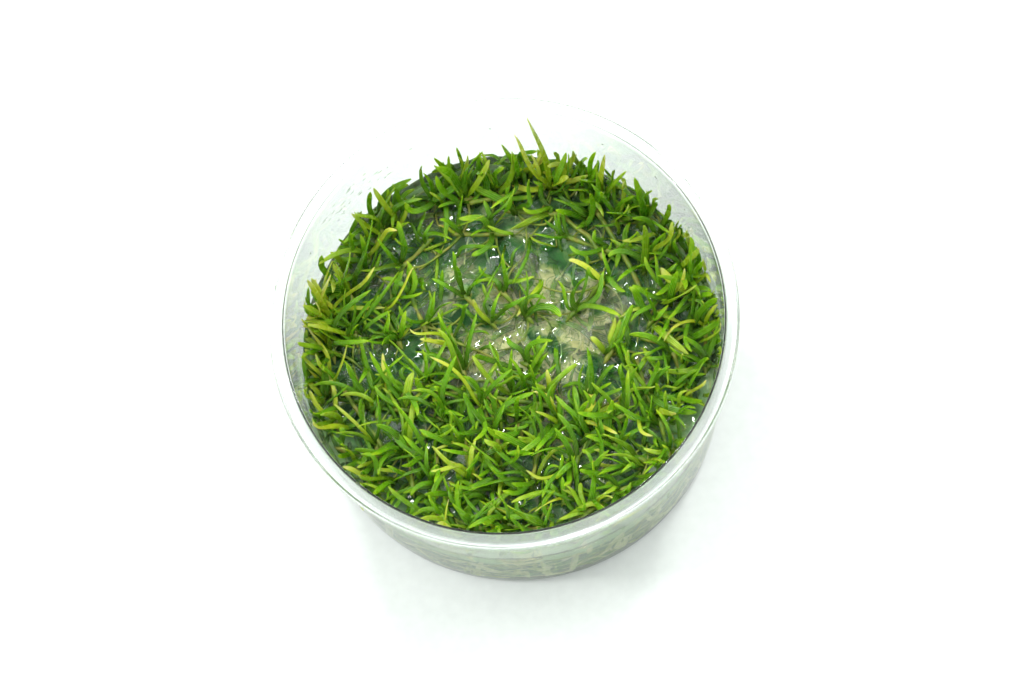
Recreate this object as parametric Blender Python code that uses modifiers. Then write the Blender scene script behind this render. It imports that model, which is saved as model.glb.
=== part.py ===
"""A clear cup of nutrient gel with a lawn of tissue-cultured dwarf plants growing out of it.

The cup stands on its base at the origin, with its axis on +Z. Lengths in the plan are in
millimetres, and MM turns them to metres where a mesh is made.
"""

import math
import random

import bmesh
import bpy
import numpy as np
from mathutils import Matrix, Vector
from mathutils.bvhtree import BVHTree

MM = 0.001

# Cup
CUP_HEIGHT = 42.0
RIM_RADIUS = 40.0
RIM_BAND_HEIGHT = 3.0
MOUTH_RADIUS = 37.7
BASE_RADIUS = 36.2
WALL = 1.1
FLOOR = 1.2
BASE_ROUND = 2.0
LIP_ROUND = 0.45
RIM_ROUND = 0.8
BAND_FOOT = (0.3, 0.2)
CUP_STEPS = 44

# Gel
GEL_LEVEL = 19.0
GAP = 0.3
GEL_STEPS = 30
GEL_RINGS = (5.0, 10.0, 15.0, 20.0, 25.0, 30.0, 33.5)
HOLLOW_PLACE = (7.0, 2.0)
HOLLOW_DEPTH = 1.5
HOLLOW_WIDTH = 9.5
SWELL = 0.45
SWELL_LENGTHS = (4.3, 4.9)
RIPPLE = 0.3
RIPPLE_LENGTH = 4.1
MENISCUS = 0.9
MENISCUS_START = 31.0
MENISCUS_WIDTH = 5.0

# Creeping stems, crowns and roots
STEM_RADIUS = 0.42
CROWN_RADIUS = 1.0
CROWN_HALF_LENGTH = 0.8
CROWN_LIFT = 0.55
STEM_START = 2.3
STEM_END = 2.1
STEM_TIP_SHARE = 0.6
ROOT_DEPTH = 4.5
ROOT_TIP_SHARE = 0.35
POCKET_RADIUS = 1.5
POCKET_FOOT_RADIUS = 0.6
POCKET_DEPTH = 5.5
POCKET_OVERSHOOT = 1.5

# Leaves
LEAF_WIDTH = 1.4
LEAF_THICKNESS = 0.5
LEAF_CLEARANCE = 1.5
WALL_CLEARANCE = 1.0
GEL_CLEARANCE = 0.8
LONG_LEAF = 7.5
LONG_SECTIONS = ((0.42, 1.0), (0.76, 0.85))
SHORT_SECTIONS = ((0.55, 1.0),)
LEAN_SPREAD = 38
RISE = (24, 80)
TWIST_SPREAD = 25
DROOP = (5, 60)
LENGTH_SHARE = (0.6, 1.15)
LEAF_SAMPLES = 9
TRIES = 120
SEED = 23

# Buds: the faces of a crown that leaves grow from
BUD_REACH = 2.4
BUD_DROP = 0.8
BUD_FACING = 0.1
FOOT_LIFT = 0.02
FOOT_SHARE = 0.95

# The planting plan, read off the photograph: one row for each plant, and in it one entry for
# each crown along its creeping stem, as (x, y, lean, leaves, length). Lean is the direction
# that the leaves point in seen from above, in degrees from +X, and length is in millimetres.
PLAN = (
    ((-17.5, 28.0, 112, 6, 11.5), (-21.0, 23.0, 135, 5, 11.0)),
    ((-15.0, 20.5, 125, 5, 10.5), (-10.5, 23.5, 80, 4, 7.0)),
    ((-7.0, 31.0, 125, 5, 9.5), (-1.5, 30.0, 97, 6, 12.0)),
    ((3.2, 30.5, 85, 5, 9.0), (8.5, 32.0, 110, 4, 10.0)),
    ((13.5, 29.0, 85, 6, 11.0), (18.0, 27.5, 70, 5, 9.5)),
    ((22.3, 25.2, 78, 6, 12.5), (19.0, 21.5, 110, 5, 8.0)),
    ((24.0, 19.5, 85, 5, 8.5), (28.5, 18.5, 65, 6, 11.5)),
    ((27.0, 10.5, 90, 4, 7.0), (30.5, 14.0, 65, 5, 9.5)),
    ((33.0, 9.0, 40, 5, 10.5), (34.0, 3.0, 60, 5, 9.0)),
    ((29.5, 4.0, 85, 5, 8.0), (25.5, 0.5, 70, 5, 8.0)),
    ((34.0, -3.5, 60, 5, 8.5), (32.5, -9.5, 80, 5, 8.5)),
    ((28.5, -13.0, 95, 5, 8.0), (27.5, -6.5, 110, 4, 7.0)),
    ((21.0, -8.0, 85, 5, 6.5), (21.5, -13.0, 60, 5, 7.5)),
    ((22.5, -18.5, 100, 5, 7.0), (22.5, -24.0, 140, 4, 7.5)),
    ((17.5, -23.5, 140, 5, 8.0), (14.0, -20.5, 110, 5, 7.0)),
    ((13.0, -28.5, 190, 5, 8.0), (6.5, -31.0, 90, 5, 7.0)),
    ((11.0, -12.0, 70, 5, 8.5), (9.5, -17.5, 85, 5, 8.0)),
    ((6.0, -14.0, 120, 5, 8.0), (3.8, -8.5, 130, 5, 8.0)),
    ((6.5, -22.0, 110, 5, 8.0), (3.5, -27.0, 105, 5, 8.5)),
    ((0.5, -18.5, 85, 5, 8.0), (-1.5, -23.0, 130, 6, 9.5)),
    ((-1.0, -32.0, 100, 4, 7.0), (-6.5, -30.0, 150, 5, 8.5)),
    ((-12.5, -29.0, 110, 5, 8.0), (-17.5, -26.0, 135, 5, 8.5)),
    ((-11.5, -14.5, 110, 5, 8.0), (-12.0, -20.5, 85, 5, 8.0)),
    ((-17.0, -15.5, 150, 5, 10.5), (-18.0, -20.0, 120, 4, 7.0)),
    ((-21.5, -12.5, 115, 5, 10.5), (-22.0, -19.0, 165, 5, 8.5)),
    ((-26.5, -10.5, 95, 4, 10.0), (-27.5, -17.5, 140, 5, 7.5)),
    ((-26.0, -3.5, 100, 5, 8.0), (-20.5, -5.5, 110, 5, 8.0)),
    ((-32.5, -4.5, 145, 5, 8.0), (-32.0, 1.5, 140, 5, 9.0)),
    ((-30.5, 8.0, 135, 6, 11.0), (-30.0, 14.0, 125, 6, 12.0)),
    ((-26.0, 10.0, 45, 4, 9.5), (-25.5, 17.0, 130, 6, 11.0)),
    ((-19.0, 7.5, 140, 5, 8.0), (-20.5, 13.5, 95, 5, 8.5)),
    ((-15.0, 14.5, 110, 4, 7.5), (-14.0, 9.0, 115, 5, 8.0)),
    ((-5.5, 12.0, 115, 5, 8.0), (-2.5, 7.0, 100, 5, 8.0)),
    ((1.0, 11.5, 95, 5, 7.5), (4.0, 6.5, 60, 5, 8.0)),
    ((-9.5, 5.0, 110, 5, 7.0), (-9.0, -1.0, 140, 5, 9.0)),
    ((-7.0, -8.5, 125, 5, 10.0), (-6.0, -14.0, 115, 6, 9.0)),
    ((-14.0, -8.0, 140, 5, 9.0), (-15.5, -2.0, 110, 5, 8.0)),
    ((-1.5, -7.0, 95, 5, 8.5), (-1.5, -13.0, 115, 6, 8.5)),
    ((12.5, 5.5, 55, 5, 9.0), (18.0, 9.0, 100, 4, 7.0)),
    ((20.5, 14.5, 130, 5, 7.0), (14.5, 18.5, 95, 4, 7.0)),
    ((13.0, 23.5, 150, 4, 7.0), (6.5, 25.5, 80, 5, 7.0)),
    ((2.0, 22.5, 140, 4, 8.5), (-4.0, 24.0, 110, 4, 6.5)),
    ((-6.5, -20.0, 105, 5, 8.5), (-7.5, -24.0, 160, 4, 7.5)),
    ((-32.0, -10.5, 140, 5, 7.5),),
    ((2.5, -2.5, 100, 4, 7.0),),
    ((16.5, -4.0, 80, 3, 6.0),),
    ((16.0, -15.5, 100, 4, 7.5),),
)

# Leaves that stand out in the photograph, by (plant, crown): (turn, rise) from the crown and
# then (turn, rise) from the bend, in degrees, and the length in millimetres.
STANDING_OUT = {
    (5, 1): ((85, 73, 124, 76, 21.0), (150, 66, 130, 74, 18.5)),
    (30, 1): ((42, 30, 40, 8, 13.0),),
    (33, 1): ((116, 48, 102, 22, 9.5),),
    (35, 2): ((134, 48, 160, -12, 10.0),),
    (36, 1): ((124, 40, 128, 12, 12.5),),
    (37, 1): ((128, 48, 178, -8, 10.0),),
    (29, 2): ((112, 76, 124, 82, 15.0), (182, 76, 152, 82, 13.5)),
    (6, 1): ((70, 78, 62, 88, 13.5),),
    (1, 1): ((108, 74, 92, 84, 11.5),),
    (25, 1): ((150, 40, 190, 6, 10.5),),
    (20, 2): ((168, 30, 184, 8, 9.5),),
    (1, 2): ((126, 64, 122, 76, 12.0),),
}


def smooth_step(value):
    value = min(max(value, 0.0), 1.0)
    return value * value * (3 - 2 * value)


def wall_inner_radius(z):
    """Radius in mm of the cup's inner side at height z."""
    base = BASE_RADIUS - WALL
    return base + (MOUTH_RADIUS - base) * z / CUP_HEIGHT


def gel_height(x, y):
    """Height in mm of the gel's top: broad swells, a sunken patch, and a lip at the wall."""
    swell = SWELL * math.sin(x / SWELL_LENGTHS[0] + 0.6) * math.cos(y / SWELL_LENGTHS[1])
    swell += RIPPLE * math.sin((x + y) / RIPPLE_LENGTH)
    from_hollow = math.hypot(x - HOLLOW_PLACE[0], y - HOLLOW_PLACE[1])
    hollow = HOLLOW_DEPTH * math.exp(-((from_hollow / HOLLOW_WIDTH) ** 2))
    lip = MENISCUS * smooth_step((math.hypot(x, y) - MENISCUS_START) / MENISCUS_WIDTH)
    return GEL_LEVEL + swell - hollow + lip


def crown_centre(x, y):
    return Vector((x, y, gel_height(x, y) + CROWN_RADIUS + CROWN_LIFT))


def stem_route(crowns):
    """Points (x, y, z, radius) of a creeping stem through its crowns, all in mm."""
    centres = [crown_centre(x, y) for x, y, *_ in crowns]
    if len(centres) > 1:
        along = (centres[1] - centres[0]).xy.normalized().to_3d()
    else:
        along = Vector((math.cos(centres[0].x), math.sin(centres[0].x), 0.0))
    route = [(*(centres[0] - STEM_START * along), STEM_RADIUS)]
    for number, centre in enumerate(centres):
        for end in (-1, 1):
            route.append((*(centre + end * CROWN_HALF_LENGTH * along), CROWN_RADIUS))
        if number + 1 < len(centres):
            middle = centre.lerp(centres[number + 1], 0.5)
            middle.z = gel_height(middle.x, middle.y) + STEM_RADIUS + CROWN_LIFT
            route.append((*middle, STEM_RADIUS))
    route.append((*(centres[-1] + STEM_END * along), STEM_TIP_SHARE * STEM_RADIUS))
    return route


def leaf_curve(leaf, t):
    """The point at t, from 0 at the crown to 1 at the tip, of a leaf (base, bend, tip)."""
    base, bend, tip = leaf
    return base.lerp(bend, t).lerp(bend.lerp(tip, t), t)


def samples(leaf):
    return np.array([leaf_curve(leaf, k / LEAF_SAMPLES)[:] for k in range(1, LEAF_SAMPLES + 1)])


def heading(turn, rise):
    """The unit vector turned from +X about +Z and raised from level, both in degrees."""
    turn, rise = math.radians(turn), math.radians(rise)
    return Vector((math.cos(turn) * math.cos(rise), math.sin(turn) * math.cos(rise), math.sin(rise)))


def shaped_leaf(base, turn, rise, tip_turn, tip_rise, length):
    """A leaf (base, bend, tip) that rises from its crown and bends over halfway."""
    bend = base + 0.5 * length * heading(turn, rise)
    return base, bend, bend + 0.5 * length * heading(tip_turn, tip_rise)


def drawn_leaf(rng, base, lean, length):
    turn = rng.gauss(lean, LEAN_SPREAD)
    rise = rng.uniform(*RISE)
    tip_turn = turn + rng.gauss(0, TWIST_SPREAD)
    tip_rise = rise - rng.uniform(*DROOP)
    length *= rng.uniform(*LENGTH_SHARE)
    return shaped_leaf(base, turn, rise, tip_turn, tip_rise, length)


def fits(points, own, others):
    """Whether a leaf stays in the cup, above the gel and clear of all that stands already."""
    for x, y, z in points:
        if math.hypot(x, y) > wall_inner_radius(z) - WALL_CLEARANCE:
            return False
    for x, y, z in points[2:]:
        if z < gel_height(x, y) + GEL_CLEARANCE:
            return False
    if len(own) and np.linalg.norm(points[3:, None] - own[None], axis=2).min() < LEAF_CLEARANCE:
        return False
    return np.linalg.norm(points[:, None] - others[None], axis=2).min() >= LEAF_CLEARANCE


def stem_points(route):
    """Points on a stem, close enough together to keep leaves off it."""
    spots = []
    places = [np.array(point[:3]) for point in route]
    for start, end in zip(places, places[1:]):
        count = max(2, int(np.linalg.norm(end - start) / 0.8))
        spots += [start + (end - start) * k / count for k in range(count + 1)]
    return np.array(spots)


def grown_leaves():
    """For each plant, the leaves of each of its crowns: first the ones that stand out."""
    stems = [stem_points(stem_route(crowns)) for crowns in PLAN]
    nowhere = np.array([[0.0, 0.0, -1000.0]])
    standing = [[nowhere] for _ in PLAN]
    grown = [[[] for _ in crowns] for crowns in PLAN]

    def add_leaf(plant, crown, leaf):
        points = samples(leaf)
        own = np.concatenate([s[2:] for s in standing[plant]] + [nowhere])
        others = np.concatenate([stems[k] for k in range(len(PLAN)) if k != plant]
                                + [s for k in range(len(PLAN)) if k != plant for s in standing[k]])
        if not fits(points, own, others):
            return False
        standing[plant].append(points)
        grown[plant][crown].append(leaf)
        return True

    for (plant, crown), leaves in STANDING_OUT.items():
        base = crown_centre(*PLAN[plant - 1][crown - 1][:2])
        for leaf in leaves:
            add_leaf(plant - 1, crown - 1, shaped_leaf(base, *leaf))
    for plant, crowns in enumerate(PLAN):
        for crown, (x, y, lean, leaves, length) in enumerate(crowns):
            rng = random.Random(SEED + 100 * plant + crown)
            base = crown_centre(x, y)
            for _ in range(leaves - len(grown[plant][crown])):
                for _ in range(TRIES):
                    if add_leaf(plant, crown, drawn_leaf(rng, base, lean, length)):
                        break
    return grown


def material(name, colour, roughness, transmission=0.0, ior=1.45):
    made = bpy.data.materials.new(name)
    made.use_nodes = True
    shader = made.node_tree.nodes["Principled BSDF"]
    shader.inputs["Base Color"].default_value = (*colour, 1.0)
    shader.inputs["Roughness"].default_value = roughness
    shader.inputs["Metallic"].default_value = 0.0
    shader.inputs["Transmission Weight"].default_value = transmission
    shader.inputs["IOR"].default_value = ior
    made.diffuse_color = (*colour, 1.0)
    return made


def add_object(name, mesh, collection):
    made = bpy.data.objects.new(name, mesh)
    collection.objects.link(made)
    return made


def arc(centre_x, centre_z, radius, start, end, points):
    """Points of a corner's round, with its angles in degrees from +X towards +Z."""
    turns = (math.radians(start + (end - start) * k / (points - 1)) for k in range(points))
    return [(centre_x + radius * math.cos(a), centre_z + radius * math.sin(a)) for a in turns]


def turned(name, profile, steps, collection):
    """A solid of revolution about Z, from a profile (x, z) in mm that runs down its outer side."""
    mesh = bpy.data.meshes.new(name)
    points = [(x * MM, 0.0, z * MM) for x, z in profile]
    mesh.from_pydata(points, [(k, k + 1) for k in range(len(points) - 1)], [])
    made = add_object(name, mesh, collection)
    screw = made.modifiers.new("turn", "SCREW")
    screw.axis = "Z"
    screw.steps = screw.render_steps = steps
    screw.use_merge_vertices = True
    screw.merge_threshold = 0.00001
    screw.use_smooth_shade = True
    return made


def cup_profile():
    """The cup's section: up its inner side, over the lip and the rim's band, and down outside."""
    inner = BASE_RADIUS - WALL
    inner_round = BASE_ROUND - WALL
    band_bottom = CUP_HEIGHT - RIM_BAND_HEIGHT
    band_in, band_up = BAND_FOOT
    taper = (MOUTH_RADIUS - inner) / CUP_HEIGHT
    profile = [(0.0, FLOOR)]
    profile += arc(inner - inner_round, FLOOR + inner_round, inner_round, -90, 0, 3)
    profile += [(MOUTH_RADIUS, CUP_HEIGHT - LIP_ROUND), (MOUTH_RADIUS + LIP_ROUND, CUP_HEIGHT)]
    profile += [(RIM_RADIUS - RIM_ROUND, CUP_HEIGHT), (RIM_RADIUS, CUP_HEIGHT - RIM_ROUND)]
    profile += [(RIM_RADIUS, band_bottom + band_up), (RIM_RADIUS - band_in, band_bottom)]
    profile += [(MOUTH_RADIUS + WALL - taper * RIM_BAND_HEIGHT, band_bottom)]
    profile += arc(BASE_RADIUS - BASE_ROUND, BASE_ROUND, BASE_ROUND, 0, -90, 4)
    profile += [(0.0, 0.0)]
    return profile


def make_cup(collection):
    cup = turned("cup", cup_profile(), CUP_STEPS, collection)
    cup.data.materials.append(material("clear polystyrene", (0.93, 0.96, 0.95), 0.06, 1.0, 1.59))
    return cup


def make_pockets(peg_centres, collection):
    """One cutter with a tapered pocket for each root."""
    made = bmesh.new()
    for x, y, z in peg_centres:
        top = z + POCKET_OVERSHOOT
        depth = POCKET_DEPTH + top - gel_height(x, y)
        place = Matrix.Translation(Vector((x, y, top - depth / 2)) * MM)
        bmesh.ops.create_cone(made, cap_ends=True, segments=5, radius1=POCKET_FOOT_RADIUS * MM,
                              radius2=POCKET_RADIUS * MM, depth=depth * MM, matrix=place)
    mesh = bpy.data.meshes.new("root_pockets")
    made.to_mesh(mesh)
    made.free()
    cutter = add_object("root_pockets", mesh, collection)
    cutter.hide_render = True
    cutter.display_type = "WIRE"
    return cutter


def make_gel(collection, pockets):
    """The gel: turned, then its top raised and lowered into swells, then the roots' pockets cut."""
    floor = FLOOR + GAP
    foot = BASE_ROUND - WALL
    side_low = wall_inner_radius(floor + foot) - GAP
    side_high = wall_inner_radius(GEL_LEVEL + 1) - GAP
    profile = [(0.0, GEL_LEVEL)] + [(r, GEL_LEVEL) for r in GEL_RINGS]
    profile += [(side_high, GEL_LEVEL), (side_low, floor + foot), (side_low - foot, floor)]
    profile += [(0.0, floor)]
    blank = turned("gel_blank", profile, GEL_STEPS, collection)
    bpy.context.view_layer.update()
    shape = blank.evaluated_get(bpy.context.evaluated_depsgraph_get())
    mesh = bpy.data.meshes.new_from_object(shape)
    bpy.data.objects.remove(blank)
    for vertex in mesh.vertices:
        if vertex.co.z > (GEL_LEVEL - 1) * MM:
            vertex.co.z = gel_height(vertex.co.x / MM, vertex.co.y / MM) * MM
    mesh.name = "gel"
    gel = add_object("gel", mesh, collection)
    gel.data.materials.append(material("set gel", (0.16, 0.36, 0.22), 0.12, 0.6, 1.34))
    cut = gel.modifiers.new("root pockets", "BOOLEAN")
    cut.operation = "DIFFERENCE"
    cut.solver = "EXACT"
    cut.object = pockets
    return gel


def stem_mesh(name, route, collection):
    """The creeping stem in mm: a curve that swells at each crown, turned to a mesh."""
    curve = bpy.data.curves.new(name, "CURVE")
    curve.dimensions = "3D"
    curve.twist_mode = "Z_UP"
    curve.bevel_depth = CROWN_RADIUS
    curve.bevel_resolution = 0
    curve.use_fill_caps = True
    spline = curve.splines.new("POLY")
    spline.points.add(len(route) - 1)
    for point, (x, y, z, radius) in zip(spline.points, route):
        point.co = (x, y, z, 1.0)
        point.radius = radius / CROWN_RADIUS
        point.tilt = math.radians(45)
    guide = add_object(name + "_guide", curve, collection)
    bpy.context.view_layer.update()
    shape = guide.evaluated_get(bpy.context.evaluated_depsgraph_get())
    mesh = bpy.data.meshes.new_from_object(shape)
    bpy.data.objects.remove(guide)
    return mesh


def section(leaf, t, width):
    """The three corners of a leaf's section at t, anticlockwise seen from its tip."""
    here = leaf_curve(leaf, t)
    along = (leaf_curve(leaf, t + 0.05) - leaf_curve(leaf, t - 0.05)).normalized()
    side = along.cross(Vector((0, 0, 1))).normalized()
    upper = side.cross(along)
    half = side * width / 2
    keel = upper * -LEAF_THICKNESS
    return [here + half, here + keel, here - half]


def ways_to_join(leaf, buds):
    """(bud, rings of corners) for each way to join a leaf to its crown, the straightest first."""
    start = (leaf[1] - leaf[0]).normalized()
    length = (leaf[1] - leaf[0]).length + (leaf[2] - leaf[1]).length
    sections = LONG_SECTIONS if length > LONG_LEAF else SHORT_SECTIONS
    rings = [section(leaf, t, share * LEAF_WIDTH) for t, share in sections]
    facing = [bud for bud in buds if bud.normal.dot(start) > BUD_FACING]
    for bud in sorted(facing, key=lambda bud: -bud.normal.dot(start)):
        foot = [loop.vert.co for loop in bud.loops]
        turned_rings = [[ring[k:] + ring[:k] for ring in rings] for k in range(3)]
        for turned_set in sorted(turned_rings, key=lambda r: sum(
                (a - b).length for a, b in zip(foot, r[0]))):
            yield bud, turned_set


def leaf_sides(rings):
    """The triangles of a leaf whose corners are numbered up its rings, foot first, tip last."""
    sides = []
    for low in range(0, 3 * rings, 3):
        for k in range(3):
            a, b = low + k, low + (k + 1) % 3
            sides += [(a, b, b + 3), (a, b + 3, a + 3)]
    return sides + [(3 * rings + k, 3 * rings + (k + 1) % 3, 3 * rings + 3) for k in range(3)]


def crosses(made, bud, rings, tip):
    """Whether a leaf pulled out of this bud would cut through itself or a face already there.

    Faces that meet at a corner are told apart from faces that cross near it by a second try,
    with the leaf's foot drawn in a little.
    """
    made.verts.index_update()
    grown = [[vert.index for vert in face.verts] for face in made.faces if face != bud]
    plant = BVHTree.FromPolygons([vert.co for vert in made.verts], grown)
    foot = [loop.vert for loop in bud.loops]
    upper = [corner for ring in rings for corner in ring] + [tip]
    sides = leaf_sides(len(rings))
    joined = BVHTree.FromPolygons([vert.co for vert in foot] + upper, sides)
    if any(not set(sides[a]) & set(sides[b]) for a, b in joined.overlap(joined)):
        return True
    if any(not {foot[k].index for k in sides[a] if k < 3} & set(grown[b])
           for a, b in joined.overlap(plant)):
        return True
    middle = bud.calc_center_median() + FOOT_LIFT * bud.normal
    drawn_in = [middle.lerp(vert.co, FOOT_SHARE) for vert in foot]
    return bool(BVHTree.FromPolygons(drawn_in + upper, sides).overlap(plant))


def grow_leaf(made, leaf, buds):
    """Pulls one leaf out of the first bud that leaves its path free."""
    for bud, rings in ways_to_join(leaf, buds):
        if not crosses(made, bud, rings, leaf[2]):
            break
    else:
        return
    buds.remove(bud)
    corners = [loop.vert for loop in bud.loops]
    corners += [made.verts.new(place) for ring in rings for place in ring]
    corners.append(made.verts.new(leaf[2]))
    made.faces.remove(bud)
    for side in leaf_sides(len(rings)):
        made.faces.new([corners[k] for k in side])


def make_plantlet(name, crowns, tufts, collection, green):
    """One plant in one piece. Returns the middle of the top of its root peg, in mm."""
    mesh = stem_mesh(name, stem_route(crowns), collection)
    made = bmesh.new()
    made.from_mesh(mesh)
    bmesh.ops.remove_doubles(made, verts=made.verts, dist=0.01)
    bmesh.ops.recalc_face_normals(made, faces=made.faces)
    made.normal_update()
    first = crown_centre(*crowns[0][:2])
    below = [face for face in made.faces if face.normal.z < -0.9]
    peg = min(below, key=lambda face: (face.calc_center_median() - first).length)
    peg_centre = peg.calc_center_median()
    peg = bmesh.ops.extrude_discrete_faces(made, faces=[peg])["faces"][0]
    low = peg_centre - Vector((0, 0, ROOT_DEPTH + CROWN_LIFT))
    for vert in peg.verts:
        vert.co = low + (vert.co - peg_centre) * ROOT_TIP_SHARE
    made.normal_update()
    tufts_buds = []
    for x, y, *_ in crowns:
        centre = crown_centre(x, y)
        tufts_buds.append([
            face for face in made.faces if len(face.verts) == 4 and face.normal.z > -0.5
            and (face.calc_center_median() - centre).length < BUD_REACH
            and face.calc_center_median().z > centre.z - BUD_DROP])
    tufts_buds = [bmesh.ops.triangulate(made, faces=buds)["faces"] for buds in tufts_buds]
    bmesh.ops.triangulate(made, faces=[face for face in made.faces if len(face.verts) > 3])
    made.normal_update()
    for buds, leaves in zip(tufts_buds, tufts):
        for leaf in leaves:
            grow_leaf(made, leaf, buds)
    made.transform(Matrix.Scale(MM, 4))
    made.to_mesh(mesh)
    made.free()
    mesh.name = name
    mesh.materials.clear()
    mesh.materials.append(green)
    add_object(name, mesh, collection)
    return peg_centre


def main():
    for thing in list(bpy.data.objects):
        bpy.data.objects.remove(thing)
    parts = bpy.data.collections.new("lilaeopsis_cup")
    cutters = bpy.data.collections.new("cutters")
    for collection in (parts, cutters):
        bpy.context.scene.collection.children.link(collection)
    green = material("leaf green", (0.18, 0.42, 0.02), 0.45)
    pegs = []
    for number, (crowns, tufts) in enumerate(zip(PLAN, grown_leaves()), start=1):
        pegs.append(make_plantlet(f"plantlet_{number:02d}", crowns, tufts, parts, green))
    make_gel(parts, make_pockets(pegs, cutters))
    make_cup(parts)


main()
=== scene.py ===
# %% [markdown]
# # A cup of tissue-cultured Lilaeopsis
#
# Lilaeopsis brasiliensis is a small grass-like water plant. A laboratory grows it from tiny
# cuttings in a clear cup that is part filled with nutrient gel. This lesson dresses the plain
# solids of such a cup: it keeps their frame and sizes, and gives each one a finer mesh and a
# finish made of nodes.
#
# The first cell loads the imported model.

# %% The frame
import math
import random

import bpy
import numpy as np
from mathutils import Matrix, Vector, noise


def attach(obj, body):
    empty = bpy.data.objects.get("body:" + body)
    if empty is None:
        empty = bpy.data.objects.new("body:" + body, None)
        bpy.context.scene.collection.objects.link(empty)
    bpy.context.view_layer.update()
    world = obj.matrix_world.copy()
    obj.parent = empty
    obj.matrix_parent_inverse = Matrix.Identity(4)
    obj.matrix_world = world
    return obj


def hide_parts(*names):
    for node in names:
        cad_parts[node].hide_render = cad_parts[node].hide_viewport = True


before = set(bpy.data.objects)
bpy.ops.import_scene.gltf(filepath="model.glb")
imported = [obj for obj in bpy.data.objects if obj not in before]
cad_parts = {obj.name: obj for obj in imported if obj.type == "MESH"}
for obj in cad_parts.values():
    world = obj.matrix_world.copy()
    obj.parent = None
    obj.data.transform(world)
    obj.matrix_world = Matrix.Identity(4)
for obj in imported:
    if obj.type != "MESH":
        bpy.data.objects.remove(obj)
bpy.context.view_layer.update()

MM = 0.001

# %% [markdown]
# ## The planting plan
#
# Each plant is one or two crowns joined by a creeping stem, called a stolon. The plan gives each
# crown its place in millimetres from the cup's axis, the side that its leaves lean to, how many
# leaves it has and how long they are. The solids were grown from the same plan, so the fine
# leaves that are grown here follow the plain ones.

# %% Sizes in millimetres
CUP_HEIGHT = 42.0
RIM_RADIUS = 40.0
RIM_BAND_HEIGHT = 3.0
MOUTH_RADIUS = 37.7
BASE_RADIUS = 36.2
WALL = 1.1
FLOOR = 1.2
BASE_ROUND = 2.0
GEL_LEVEL = 19.0
HOLLOW_PLACE = (7.0, 2.0)
HOLLOW_DEPTH = 1.5
HOLLOW_WIDTH = 9.5
SWELL = 0.45
SWELL_LENGTHS = (4.3, 4.9)
RIPPLE = 0.3
RIPPLE_LENGTH = 4.1
MENISCUS = 0.9
MENISCUS_START = 31.0
MENISCUS_WIDTH = 5.0
STEM_RADIUS = 0.42
CROWN_RADIUS = 1.0
CROWN_HALF_LENGTH = 0.8
CROWN_LIFT = 0.55
STEM_START = 2.3
STEM_END = 2.1
STEM_TIP_SHARE = 0.6
LEAF_CLEARANCE = 1.5
WALL_CLEARANCE = 1.0
GEL_CLEARANCE = 0.8
LEAN_SPREAD = 38
RISE = (24, 80)
TWIST_SPREAD = 25
DROOP = (5, 60)
LENGTH_SHARE = (0.6, 1.15)
LEAF_SAMPLES = 9
TRIES = 120
SEED = 23
print("cup", 2 * RIM_RADIUS, "mm across and", CUP_HEIGHT, "mm tall")

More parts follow.
